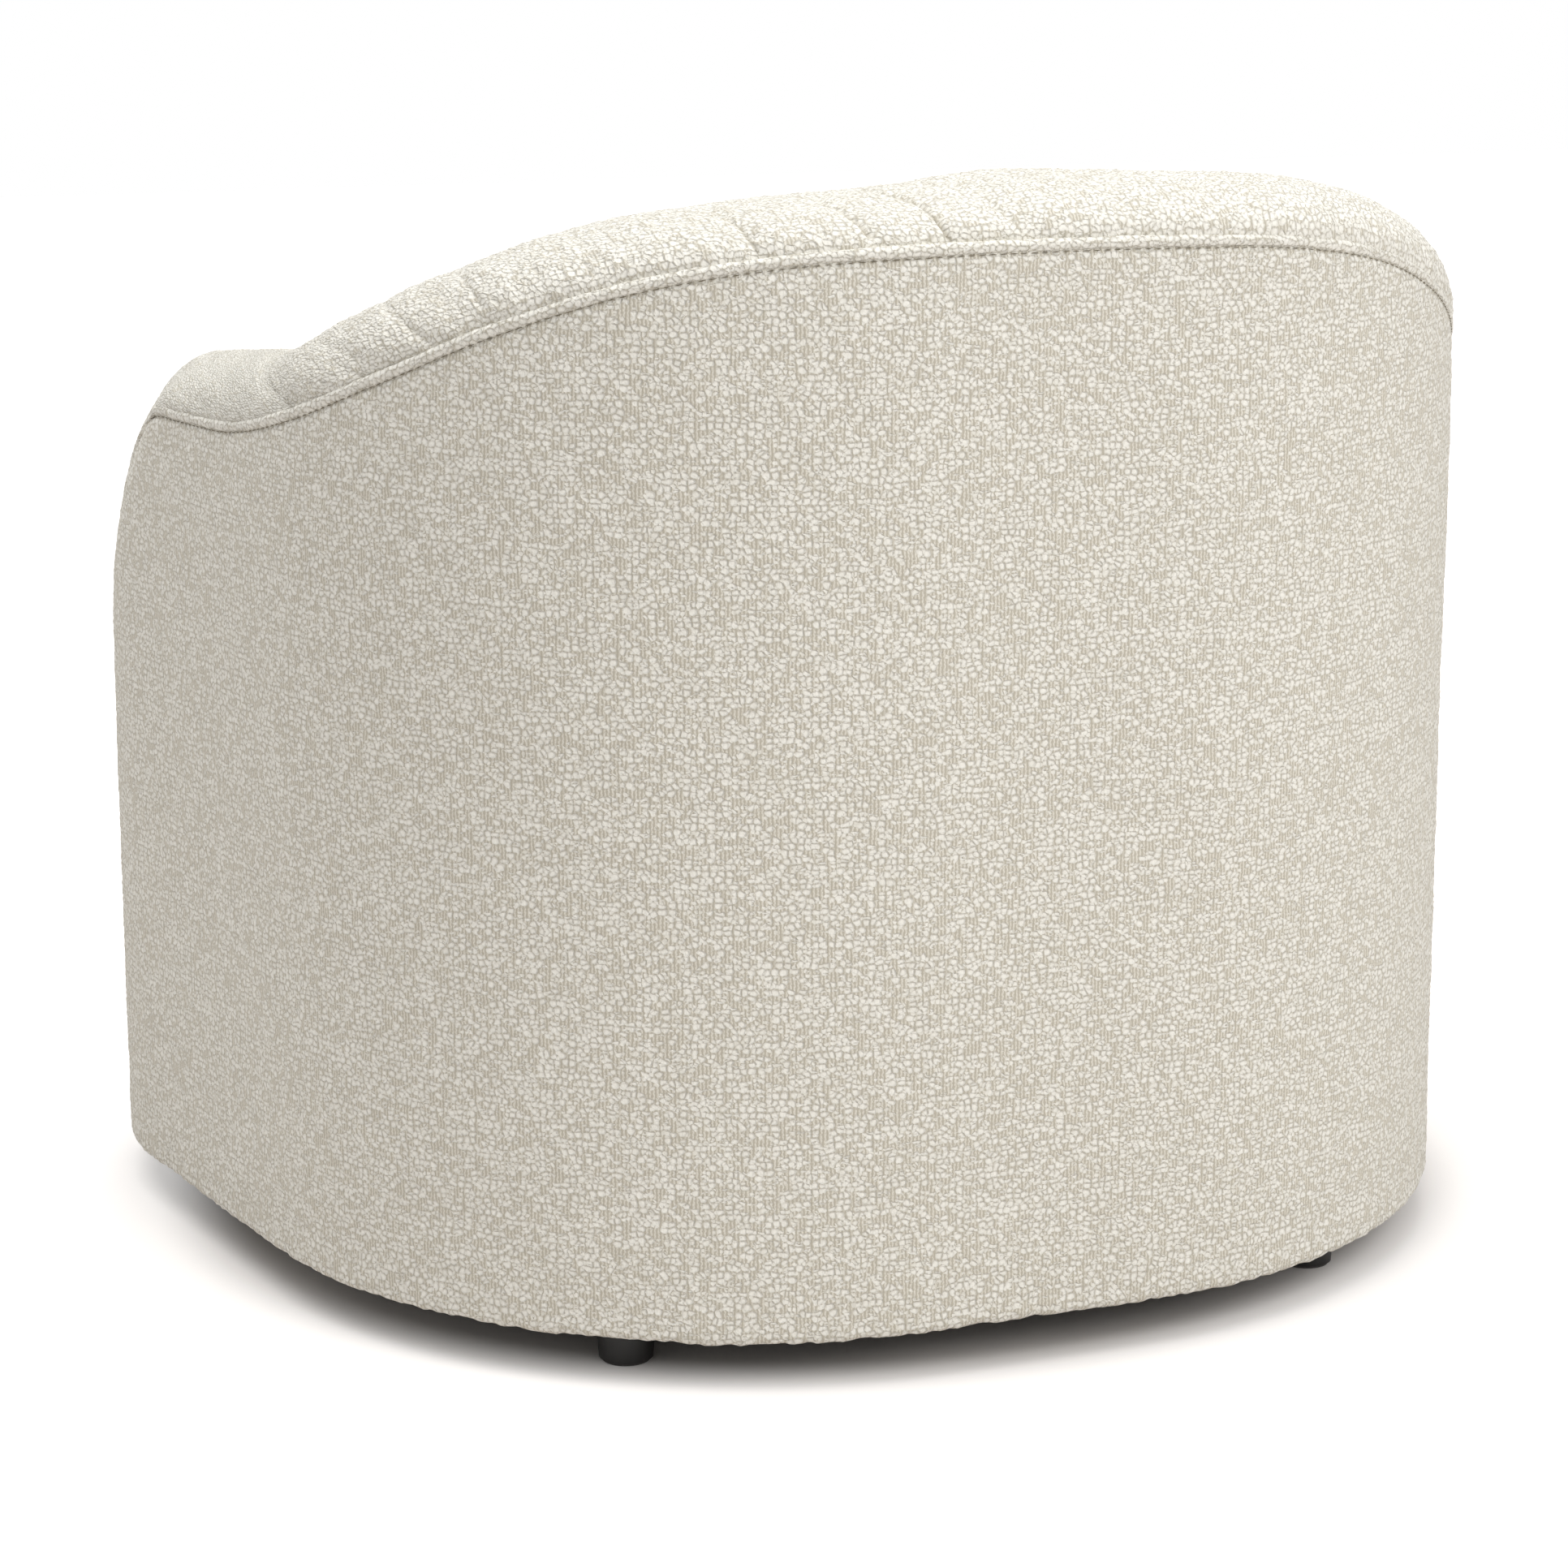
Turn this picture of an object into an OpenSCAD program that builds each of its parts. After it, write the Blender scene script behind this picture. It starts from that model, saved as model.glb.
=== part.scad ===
// Barrel tub chair: a plywood and timber frame with sprung seat, padded all round,
// covered in looped wool cloth, with a loose seat cushion. Front is -Y, floor is z = 0.

/* [Plan of the outside] */
// Half of the straight stretch across the back
back_flat = 63; // [45:1:85]
// Plan radius of the two back corners
corner_r = 328; // [300:1:350]
// Angle that each back corner turns through, in degrees
side_turn = 81.5; // [79:0.5:85]
// Length of each straight side
side_run = 200; // [170:5:240]
// Plan radius of the rounded arm fronts
nose_r = 220; // [205:1:240]
// Heading at which an arm front meets the apron, in degrees
nose_turn = 160; // [157:0.5:163]
// Thickness of the upholstered wall
wall_t = 150; // [140:1:165]

/* [Heights] */
// Clear height under the hem
hem_z = 30; // [20:1:45]
// Height of the welt at the middle of the back
seam_back_z = 651; // [630:1:690]
// Height of the welt along the arms
seam_arm_z = 527; // [500:1:560]
// Height of the crown at the middle of the back
crown_back_z = 688; // [676:1:740]
// Height of the crown along the arm fronts
crown_arm_z = 548; // [540:1:590]
// Height at which the rounded arm fronts start to curve in
nose_shoulder_z = 346; // [330:1:380]
// Top of the rails that carry the seat springs
rail_top_z = 225; // [200:1:250]

/* [Padding and cloth] */
// Thickness of the cover cloth
cloth_t = 3; // [2:0.5:4]
// Thickness of the wadding under the cloth
wadding_t = 6; // [4:0.5:8]
// Thickness of the liner board round the outside
liner_t = 3; // [2:0.5:4]
// Thickness of the foam on the inside of the wall
wall_foam_t = 60; // [50:1:68]
// Thickness of the foam deck over the springs
deck_foam_t = 28; // [20:1:40]
// Radius of the welt cord with its cloth
welt_r = 3.2; // [2.5:0.1:4]
// How far the gathers of the inside cover stand out
gather_h = 4; // [2:0.5:6]
// Number of gathers on each half of the inside cover
gathers = 17; // [10:1:19]

/* [Frame] */
// Thickness of the plywood base boards and arm boards
board_t = 18; // [15:1:22]
// Thickness of the seat rails and posts
rail_t = 22; // [18:1:28]
// Half the distance between the side rails
rail_gap_half = 289; // [280:1:292]
// Depth of the wall posts, across the wall
post_d = 45; // [35:1:50]

/* [Feet] */
// Foot radius at the top
foot_top_r = 18.5; // [16:0.5:24]
// Foot radius at the floor
foot_low_r = 16; // [13:0.5:20]
// Distance of each foot from the middle, across the chair
foot_x = 225; // [200:1:235]
// Distance of the back feet from the back of the chair
foot_back_in = 98; // [90:1:115]
// Distance of the front feet from the front of the apron
foot_front_in = 100; // [97:1:110]

/* [Seat cushion] */
// Thickness of the cushion at its edge
cushion_t = 140; // [110:1:165]
// How far the cushion's middle rises above its edge
cushion_crown = 30; // [15:1:40]
// How far the cushion's sides draw in between its corners
side_draw = 5; // [2:0.5:8]
// Clearance between the cushion and the inside cover
cushion_gap = 7; // [5:0.5:10]

/* [Springs] */
// Number of seat springs
springs = 5; // [3:2:7]
// Distance between the springs
spring_pitch = 98; // [90:1:104]
// Wire thickness of the springs
wire_t = 3.8; // [3:0.1:5]
// Half the width of a spring's waves
wave_half = 24; // [18:1:30]

/* [Hidden] */

// Clearance between layers that lie on each other
lay_gap = 0.3;
// Clearance between layers whose bends are drawn at different stations
bend_gap = 0.8;
// How far a cut runs past the faces it cuts
cut = 1;
// Degrees in one radian
deg = 180 / PI;
// Longest step between the stations along the wall
station_step = 26;

// Arc lengths, from the middle of the back, at which the outline changes
s_corner = back_flat;
s_side = s_corner + corner_r * side_turn / deg;
s_nose = s_side + side_run;
s_apron = s_nose + nose_r * (nose_turn - side_turn) / deg;

// Unit vectors along and out of the outline at a heading
function along(h) = [cos(h), -sin(h)];
function out(h) = [sin(h), cos(h)];

// Centres of the outline's arcs, measured from the outline's back edge
corner_c = [back_flat, -corner_r];
side_start = corner_c + corner_r * out(side_turn);
side_end = side_start + side_run * along(side_turn);
nose_c = side_end - nose_r * out(side_turn);
nose_end = nose_c + nose_r * out(nose_turn);
apron_r = nose_end.x / sin(nose_turn);
apron_c = nose_end - apron_r * out(nose_turn);
s_front = s_apron + apron_r * (180 - nose_turn) / deg;
depth = apron_r - apron_c.y;
half_depth = depth / 2;

// Point and heading of the outline at arc length s, on the left half
function outer_plan(s) =
    s < s_corner ? [[s, 0], 0]
    : s < s_side ? let (h = (s - s_corner) / corner_r * deg) [corner_c + corner_r * out(h), h]
    : s < s_nose ? [side_start + (s - s_side) * along(side_turn), side_turn]
    : s < s_apron ? let (h = side_turn + (s - s_nose) / nose_r * deg) [nose_c + nose_r * out(h), h]
    : let (h = nose_turn + (s - s_apron) / apron_r * deg) [apron_c + apron_r * out(h), h];

// The inside line of an arm front: a bend from the side's line to one straight ahead,
// which ends at the arm front's thin tip, where the apron meets it
tip_t = 14;
inner_side_end = side_end - wall_t * out(side_turn);
inner_end = [nose_end.x - cloth_t, nose_end.y + tip_t];
inner_bend_share = 0.1;
inner_bend = inner_side_end
    + inner_bend_share * norm(inner_end - inner_side_end) * along(side_turn);

// Point and heading of the inside line at the station whose outer arc length is s
function inner_plan(s) =
    s < s_nose ? let (q = outer_plan(s)) [q[0] - wall_t * out(q[1]), q[1]]
    : let (f = min(1, (s - s_nose) / (s_apron - s_nose)), e = 1 - f,
           p = e * e * inner_side_end + 2 * f * e * inner_bend + f * f * inner_end,
           t = e * (inner_bend - inner_side_end) + f * (inner_end - inner_bend))
      [p, atan2(-t.y, t.x)];

function sgn(s) = s < 0 ? -1 : 1;
function placed(p, s, z) = [sgn(s) * p.x, p.y + half_depth, z];
// A point at a depth under the outer line, or at a depth behind the inside line
function outer_at(s, inset, z) =
    let (q = outer_plan(abs(s))) placed(q[0] - inset * out(q[1]), s, z);
function inner_at(s, behind, z) =
    let (q = inner_plan(abs(s))) placed(q[0] + behind * out(q[1]), s, z);

// Heights of the welt and crown: shares of their fall, at equal steps from the back's middle
fall_step = 80;
seam_fall_shares = [1, 0.993, 0.958, 0.848, 0.646, 0.392, 0.165, 0.03, 0, 0];
crown_fall_shares =
    [1, 0.958, 0.917, 0.853, 0.748, 0.598, 0.413, 0.229, 0.103, 0.042, 0, 0];
function share_at(shares, t) =
    let (last = len(shares) - 1, k = min(max(floor(t), 0), last - 1), f = min(t - k, 1),
         a = shares[max(k - 1, 0)], b = shares[k], c = shares[k + 1],
         d = shares[min(k + 2, last)],
         bend = 2 * a - 5 * b + 4 * c - d, twist = 3 * b - a - 3 * c + d)
    b + f * ((c - a) + f * (bend + f * twist)) / 2;
function fallen(shares, high, low, s) = low + (high - low) * share_at(shares, abs(s) / fall_step);
function seam_level(s) = fallen(seam_fall_shares, seam_back_z, seam_arm_z, s);
function crown_level(s) = fallen(crown_fall_shares, crown_back_z, crown_arm_z, s);

// The welt leaves the arm's edge, rounds a quarter ellipse and runs down to the hem
turn_lead = 67;
s_turn = s_nose - turn_lead;
turn_run = 167;
turn_past_shoulder = 16;
turn_drop = seam_arm_z - nose_shoulder_z + turn_past_shoulder;
s_drop = s_turn + turn_run;
function eased(t) = let (c = min(max(t, 0), 1)) c * c * (3 - 2 * c);
function shoulder(s) = abs(s) < s_turn ? seam_level(s)
    : seam_arm_z + (nose_shoulder_z - seam_arm_z) * eased((abs(s) - s_turn) / turn_run);
// Height of the edge between the two covers, moved outwards by a margin
function cover_edge(s, margin) =
    let (d = abs(s) - s_turn, a = turn_run + margin, b = turn_drop + margin)
    d <= 0 ? seam_level(s) + margin
    : d < a ? seam_arm_z - turn_drop + b * sqrt(1 - d * d / (a * a))
    : hem_z;

// The crown's rise over the shoulder, which dies away round the arm front
nose_fade_share = 0.16;
tip_rise = 12;
function rise(s) =
    let (full = crown_level(s) - shoulder(s),
         f = (abs(s) - s_nose) / (s_apron - s_nose),
         g = max(0, (f - nose_fade_share) / (1 - nose_fade_share)))
    max(tip_rise, full * sqrt(max(0, 1 - g * g)));

// A point of the padded form at station s and angle a over the crown, at a depth under it.
// The angle runs from 0 on the outside to 180 on the inside.
function form_at(s, a, d) =
    let (o = outer_at(s, d, 0), i = inner_at(s, d, 0), w = (1 - cos(a)) / 2,
         z = shoulder(s) + max(rise(s) - d, 0) * sin(a))
    [o.x + (i.x - o.x) * w, o.y + (i.y - o.y) * w, z];
// The angle over the crown at which the form reaches height z on the outside
function angle_of(s, z) = asin(min(1, max(0, (z - shoulder(s)) / rise(s))));

// Stations from a to b, no further apart than the step
function stations(a, b, step = station_step) =
    let (n = ceil(abs(b - a) / step)) [for (k = [0 : n]) a + (b - a) * k / n];
function flat(rings) = [for (r = rings) for (p = r) p];
function reversed(list) = [for (k = [len(list) - 1 : -1 : 0]) list[k]];
function past_first(list) = [for (k = [1 : len(list) - 1]) list[k]];
// A list that starts at zero, run on to both sides
function both(half) = concat([for (s = reversed(past_first(half))) -s], half);
function turned(list, side) = [for (s = list) side * s];

// Two triangles for the quad between columns i and j of rows a and b, split either way.
// Layers that lie on each other are split the same way, so that they follow each other.
function quad(a, b, i, j, flip = false) = flip
    ? [[a + i, a + j, b + i], [a + j, b + j, b + i]]
    : [[a + i, a + j, b + j], [a + i, b + j, b + i]];
function total(list) = [for (v = list) 1] * list;
function volume_of(points, faces) =
    total([for (f = faces) points[f[0]] * cross(points[f[1]], points[f[2]])]);

// A closed skin, turned so that its faces look outwards
module closed_skin(points, faces) {
    inward = volume_of(points, faces) > 0;
    polyhedron(points, inward ? [for (f = faces) reversed(f)] : faces);
}

// A solid through a row of closed rings of n points, with a fan of faces at each end.
// The last sides of each ring, which lead back to its start, are split the other way.
module stack(rings, flips = 1) {
    n = len(rings[0]);
    m = len(rings);
    middles = [for (r = [rings[0], rings[m - 1]]) total(r) / n];
    sides = [for (k = [0 : m - 2]) for (i = [0 : n - 1])
        each quad(k * n, (k + 1) * n, i, (i + 1) % n, i >= n - flips)];
    ends = [for (i = [0 : n - 1]) each [[m * n, (i + 1) % n, i],
        [m * n + 1, (m - 1) * n + i, (m - 1) * n + (i + 1) % n]]];
    closed_skin(concat(flat(rings), middles), concat(sides, ends));
}

// A sheet with a face row and a back row of n points at each station
module sheet(faces_rows, back_rows) {
    n = len(faces_rows[0]);
    m = len(faces_rows);
    w = 2 * n;
    rings = [for (k = [0 : m - 1]) concat(faces_rows[k], reversed(back_rows[k]))];
    sides = [for (k = [0 : m - 2]) for (i = [0 : w - 1])
        each quad(k * w, (k + 1) * w, i, (i + 1) % w, i >= n)];
    first = [for (i = [0 : n - 2]) each [[i + 1, i, w - 1 - i], [i + 1, w - 1 - i, w - 2 - i]]];
    last = [for (f = first) [for (v = reversed(f)) v + (m - 1) * w]];
    closed_skin(flat(rings), concat(sides, first, last));
}

// A closed loop of rings, such as a welt that runs right round a cushion
module hoop(rings) {
    n = len(rings[0]);
    m = len(rings);
    closed_skin(flat(rings), [for (k = [0 : m - 1]) for (i = [0 : n - 1])
        each quad(k * n, ((k + 1) % m) * n, i, (i + 1) % n)]);
}

// A band that follows the outer line, or the inside line, between two depths and heights
module outer_band(list, d0, d1, low, high) {
    stack([for (s = list) [outer_at(s, d0, low(s)), outer_at(s, d0, high(s)),
        outer_at(s, d1, high(s)), outer_at(s, d1, low(s))]]);
}
module inner_band(list, d0, d1, low, high) {
    stack([for (s = list) [inner_at(s, d1, low(s)), inner_at(s, d1, high(s)),
        inner_at(s, d0, high(s)), inner_at(s, d0, low(s))]]);
}

// Depths of the layers under the outer line and behind the inside line
wadding_in = cloth_t + bend_gap;
liner_in = wadding_in + wadding_t + lay_gap;
frame_in = liner_in + liner_t + bend_gap;
pleat_back = gather_h + cloth_t + bend_gap;
roll_in = pleat_back + wadding_t + lay_gap;
nose_in = 2 * welt_r + bend_gap;
foam_back = pleat_back + wall_foam_t;
web_t = 2;
web_in = foam_back + lay_gap;
frame_back = wall_t - web_in - web_t - bend_gap;

// Heights of the layers
dust_t = 1;
hem_cover = 6;
base_z = hem_z + hem_cover;
base_top = base_z + board_t;
top_rail_drop = 14;
function rail_top(s) = shoulder(s) - top_rail_drop;
function rail_low(s) = rail_top(s) - board_t;
clip_t = 1.2;
clip_h = wire_t + 2 * lay_gap + clip_t;
felt_t = 3;
felt_z = rail_top_z + clip_h + lay_gap;
deck_z = felt_z + felt_t + lay_gap;
lining_t = 2;
lining_z = deck_z + deck_foam_t + lay_gap;
seat_z = lining_z + lining_t + lay_gap;

// Where the wall's pieces meet, and the stations that its layers share
s_joint = 450;
board_past = 15;
s_board = s_nose + board_past;
s_nose_foam = s_board + board_t;
crease_s = 475;
crease_slant = 165;
strip_step = 40;
back_half = stations(0, s_joint, strip_step);
arm_half = stations(s_joint, s_board - lay_gap, strip_step);
back_list = both(back_half);
arm_list = concat([s_joint + lay_gap], past_first(arm_half));
arm_foam_list = concat(arm_list, [s_nose_foam]);
wall_half = concat(back_half, past_first(arm_half));
whole_wall = both(wall_half);
roll_list = both(concat(wall_half, [s_nose_foam]));

// Colours
cream = "#E9E3D6";
foam_tint = "#F1E6B8";
fibre_tint = "#F7F7F4";
ply_tint = "#C9A26B";
timber_tint = "#B98A55";
steel_tint = "#9AA0A6";
card_tint = "#8C7A62";
black_tint = "#1B1B1B";
lining_tint = "#D8D2C4";

// Flat outlines, drawn at the chair's own place
outline_step = 22;
function outline_half(inset) =
    [for (s = stations(0, s_front, outline_step)) let (p = outer_at(s, inset, 0)) [p.x, p.y]];
function mirrored(list) = [for (p = reversed(list)) [-p.x, p.y]];
module outline(inset) { polygon(concat(outline_half(inset), mirrored(outline_half(inset)))); }

// The well inside the wall, closed at the front by the apron's arc
well_step = 30;
function arc_y(r, x) = half_depth + apron_c.y - sqrt(r * r - x * x);
function well_half(inside, front_in) =
    let (r = apron_r - front_in, side = inner_at(s_apron, -inside, 0).x,
         front_y = arc_y(r, side), reach = asin(side / r))
    concat([for (s = stations(0, s_apron, well_step)) let (p = inner_at(s, -inside, 0))
                if (p.y > front_y) [p.x, p.y]],
           [for (k = [0 : 6]) let (h = 180 - reach * (1 - k / 6), p = apron_c + r * out(h))
                [p.x, p.y + half_depth]]);
module well(inside, front_in) {
    half = well_half(inside, front_in);
    polygon(concat(half, mirrored(half)));
}

// Base boards: a ring of four boards, butted at two straight lines
base_hole_x = 250;
// How far the back and front boards reach past the block screws
board_past_screw = 15;
foot_ys = [half_depth - foot_back_in, -half_depth + foot_front_in];
foot_places = [for (x = [-1, 1], y = foot_ys) [x * foot_x, y]];
bolt_r = 4;
nut_r = 5.5;
nut_flange_r = 12;
nut_flange_t = 1.5;
fit_gap = 0.05;
block_size = 50;
block_h = 60;
screw_r = 2;
screw_len = 45;
screw_head_r = 4;
screw_head_t = 2;
screw_spread = 12;
back_rail_in = 155;
back_rail_y = half_depth - back_rail_in - rail_t;
front_rail_in = 30;
block_x = rail_gap_half - block_size / 2;
function nose_y(inset, x) =
    half_depth + nose_c.y - sqrt(pow(nose_r - inset, 2) - pow(x - nose_c.x, 2));
// Place of the outline's front: on the arm front's arc, or on the apron's arc beside it
function front_y(inset, x) = x > nose_end.x ? nose_y(inset, x) : arc_y(apron_r - inset, x);
back_block_y = back_rail_y - block_size / 2;
front_block_y = front_y(front_rail_in + rail_t, rail_gap_half) + bend_gap + block_size / 2;
base_hole_back = back_block_y - board_past_screw;
base_hole_front = front_block_y + board_past_screw;
block_ys = [back_block_y, front_block_y];
block_places = [for (x = [-1, 1], y = block_ys) [x * block_x, y]];

module at_feet(z) { for (p = foot_places) translate([p.x, p.y, z]) children(); }
module at_screws(z) {
    for (p = block_places, d = [-1, 1]) translate([p.x + d * screw_spread, p.y, z]) children();
}
module base_board(low, high) {
    color(ply_tint) difference() {
        intersection() {
            translate([0, 0, base_z]) linear_extrude(board_t) outline(frame_in);
            translate([low.x, low.y, base_z - cut])
                cube([high.x - low.x, high.y - low.y, board_t + 2 * cut]);
        }
        at_feet(base_z - cut) cylinder(r = nut_r + fit_gap, h = board_t + 2 * cut, $fn = 48);
        at_screws(base_z - cut) cylinder(r = screw_r + fit_gap, h = board_t + 2 * cut, $fn = 32);
    }
}
module base_board_front() { base_board([-depth, -depth], [depth, base_hole_front]); }
module base_board_back() { base_board([-depth, base_hole_back], [depth, depth]); }
module base_board_left() { base_board([base_hole_x, base_hole_front], [depth, base_hole_back]); }
module base_board_right() { base_board([-depth, base_hole_front], [-base_hole_x, base_hole_back]); }

// Seat box: a bowed front rail, a back rail and two side rails standing on the base boards
rail_out = rail_gap_half + rail_t;
side_rail_front = front_y(rail_out > nose_end.x ? frame_in : front_rail_in, rail_out);
module front_rail() {
    color(timber_tint) translate([0, 0, base_top]) linear_extrude(rail_top_z - base_top) intersection() {
        difference() { outline(front_rail_in); outline(front_rail_in + rail_t); }
        translate([-rail_gap_half, -depth]) square([2 * rail_gap_half, depth - half_depth / 2]);
    }
}
module back_rail() {
    color(timber_tint) translate([-rail_gap_half, back_rail_y, base_top])
        cube([2 * rail_gap_half, rail_t, rail_top_z - base_top]);
}
module side_rail(x) {
    color(timber_tint) translate([x, side_rail_front, base_top])
        cube([rail_t, back_rail_y + rail_t - side_rail_front, rail_top_z - base_top]);
}
module side_rail_left() { side_rail(rail_gap_half); }
module side_rail_right() { side_rail(-rail_gap_half - rail_t); }

module corner_blocks() {
    color(timber_tint) difference() {
        for (p = block_places) translate([p.x - block_size / 2, p.y - block_size / 2, base_top])
            cube([block_size, block_size, block_h]);
        at_screws(base_z) cylinder(r = screw_r + fit_gap, h = screw_len + cut, $fn = 32);
    }
}
module block_screws() {
    color(steel_tint) at_screws(base_z - screw_head_t) union() {
        cylinder(r = screw_head_r, h = screw_head_t, $fn = 32);
        cylinder(r = screw_r, h = screw_head_t + screw_len, $fn = 32);
    }
}

// Posts in the wall, from the base boards to the rail along the top
post_w = 30;
back_post_places = [-200, 0, 200];
arm_post_shares = [0.25, 0.75];
module post(list) {
    outer_band(list, frame_in, frame_in + post_d,
        function(q) base_top, function(q) rail_low(q) - bend_gap);
}
module back_posts() {
    color(timber_tint) for (s = back_post_places)
        post(stations(s - post_w / 2, s + post_w / 2, post_w / 2));
}
module arm_posts() {
    color(timber_tint) for (f = arm_post_shares, side = [-1, 1])
        let (k = floor(f * (len(arm_half) - 1))) post(turned([arm_half[k], arm_half[k + 1]], side));
}

lower_rail_h = 35;
module lower_back_rail() {
    color(ply_tint) outer_band(back_list, frame_in + post_d + bend_gap, frame_back,
        function(q) rail_top_z + lay_gap, function(q) rail_top_z + lay_gap + lower_rail_h);
}
module top_rail(list) {
    color(ply_tint) outer_band(list, frame_in, frame_back,
        function(q) rail_low(q), function(q) rail_top(q));
}
module top_rail_back() { top_rail(back_list); }
module top_rail_left() { top_rail(arm_list); }
module top_rail_right() { top_rail(turned(arm_list, -1)); }

// Arm boards close the wall's frame at the arm fronts, and the nose foam is glued to them
arm_board_drop = 30;
module arm_board(side) {
    a = side * s_board;
    b = side * (s_board + board_t);
    color(ply_tint) stack([for (s = [a, b]) let (top = rail_top(s) - arm_board_drop)
        [outer_at(s, frame_in, base_top), outer_at(s, frame_in, top),
         inner_at(s, web_in, top), inner_at(s, web_in, base_top)]]);
}
module arm_board_left() { arm_board(1); }
module arm_board_right() { arm_board(-1); }

// Zigzag springs, from the back rail to the front rail, with a clip at each end
waves = 14;
wave_steps = 4;
spring_y = back_rail_y + rail_t / 2;
function front_rail_y(x) = arc_y(apron_r - front_rail_in - rail_t / 2, x);
spring_xs = [for (k = [0 : springs - 1]) (k - (springs - 1) / 2) * spring_pitch];
function wave_point(x, t) = let (run = spring_y - front_rail_y(x), a = 360 * t * waves / 2)
    [x + wave_half * sin(a) * min(1, 8 * t, 8 * (1 - t)), spring_y - run * t];
function wave_path(x) = let (n = waves * wave_steps) [for (k = [0 : n]) wave_point(x, k / n)];
function widened(path, w) = let (n = len(path) - 1)
    [for (k = [0 : n]) let (t = path[min(k + 1, n)] - path[max(k - 1, 0)])
        path[k] + w * [-t.y, t.x] / norm(t)];
module spring(x) {
    half = wire_t / 2;
    polygon(concat(widened(wave_path(x), half), reversed(widened(wave_path(x), -half))));
}
module seat_springs() {
    color(steel_tint) translate([0, 0, rail_top_z + lay_gap]) linear_extrude(wire_t)
        for (x = spring_xs) spring(x);
}
clip_w = 34;
clip_l = 10;
module clip() {
    difference() {
        translate([-clip_w / 2, -clip_l / 2, 0]) cube([clip_w, clip_l, clip_h]);
        translate([-clip_w / 2 + clip_t, -clip_l / 2 - cut, -cut])
            cube([clip_w - 2 * clip_t, clip_l + 2 * cut, clip_h - clip_t + cut]);
    }
}
module spring_clips() {
    color(steel_tint) for (x = spring_xs, y = [spring_y, front_rail_y(x)])
        translate([x, y, rail_top_z]) clip();
}

// Deck over the springs
deck_inside = 1;
deck_front_in = front_rail_in + lay_gap;
module deck_layer(z, t, front_in) {
    translate([0, 0, z]) linear_extrude(t) well(deck_inside, front_in);
}
module spring_felt() { color(card_tint) deck_layer(felt_z, felt_t, deck_front_in); }
module deck_foam() { color(foam_tint) deck_layer(deck_z, deck_foam_t, deck_front_in); }
apron_tuck = 60;
module deck_cloth() { color(lining_tint) deck_layer(lining_z, lining_t, apron_tuck + lay_gap); }

// Elastic webbing up the inside of the posts, and the panels inside the arms
web_w = 50;
web_places = [-385, -300, -180, -60, 60, 180, 300, 385];
web_low = 10;
module back_webbing() {
    color(black_tint) for (s = web_places)
        inner_band(stations(s - web_w / 2, s + web_w / 2, web_w / 3), web_in, web_in + web_t,
            function(q) rail_top_z + web_low, function(q) rail_top(q) - lay_gap);
}
module arm_panel(side) {
    color(card_tint) inner_band(turned(arm_list, side), web_in, web_in + web_t,
        function(q) rail_top_z + lay_gap, function(q) rail_top(q) - lay_gap);
}
module arm_panel_left() { arm_panel(1); }
module arm_panel_right() { arm_panel(-1); }

// Foam on the inside of the wall, in three pieces
module wall_foam(list) {
    color(foam_tint) inner_band(list, pleat_back, foam_back - bend_gap,
        function(q) felt_z, function(q) rail_top(q));
}
module back_foam() { wall_foam(back_list); }
module arm_foam_left() { wall_foam(arm_foam_list); }
module arm_foam_right() { wall_foam(turned(arm_foam_list, -1)); }

// Roll over the top of the wall: foam on the rail, then wadding under the cloth
cover_angles = [25, 50, 75, 105, 130, 155, 180];
roll_angles = concat([0], cover_angles);
// A closed slice of padding at a station: up the outside, over the crown, down the inside
function slice(s, d, low) = concat([outer_at(s, d, low)],
    [for (a = roll_angles) form_at(s, a, d)], [inner_at(s, d, low)]);
function crown_row(s, d) = [for (a = roll_angles) form_at(s, a, d)];
module roll_foam() {
    color(foam_tint) stack([for (s = whole_wall) let (low = rail_top(s) + bend_gap)
        concat(slice(s, roll_in, low), [inner_at(s, foam_back, low), outer_at(s, frame_back, low)])],
        3);
}
module roll_wadding() {
    color(fibre_tint) sheet([for (s = roll_list) crown_row(s, pleat_back)],
        [for (s = roll_list) crown_row(s, pleat_back + wadding_t)]);
}

// Foam of the rounded arm fronts
nose_end_in = 20;
s_foam_end = s_apron - nose_end_in;
module nose_foam(side) {
    color(foam_tint) stack([for (s = stations(s_nose_foam + bend_gap, s_foam_end))
        slice(side * s, nose_in, felt_z)]);
}
module nose_foam_left() { nose_foam(1); }
module nose_foam_right() { nose_foam(-1); }

// Apron over the front rail
apron_side = inner_end.x - lay_gap;
apron_round = 22;
function apron_reach(inset) = asin(apron_side / (apron_r - inset));
function apron_at(side_share, p) =
    let (h = apron_reach(p[0]) * side_share, r = apron_r - p[0])
    [r * sin(h), half_depth + apron_c.y - r * cos(h), p[1]];
apron_shares = [for (k = [-9 : 9]) k / 9];
quarter_steps = [0 : 22.5 : 90];
function apron_ring(share, line) = [for (p = line) apron_at(share, p)];
module apron_foam() {
    top = lining_z - lay_gap;
    back = front_rail_in - lay_gap;
    arc = [for (a = quarter_steps)
        [wadding_in + apron_round * (1 - cos(a)), top - apron_round * (1 - sin(a))]];
    line = concat([[back, base_top], [wadding_in, base_top]], arc, [[back, top]]);
    color(foam_tint) stack([for (f = apron_shares) apron_ring(f, line)]);
}
function apron_line(d) = let (r = apron_round + cloth_t + lay_gap, top = lining_z + lining_t)
    concat([[d, hem_z], [d, (hem_z + lining_z) / 2]],
        [for (a = quarter_steps) [d + (r - d) * (1 - cos(a)), top - r + (r - d) * sin(a)]],
        [[apron_tuck, top - d]]);
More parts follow.
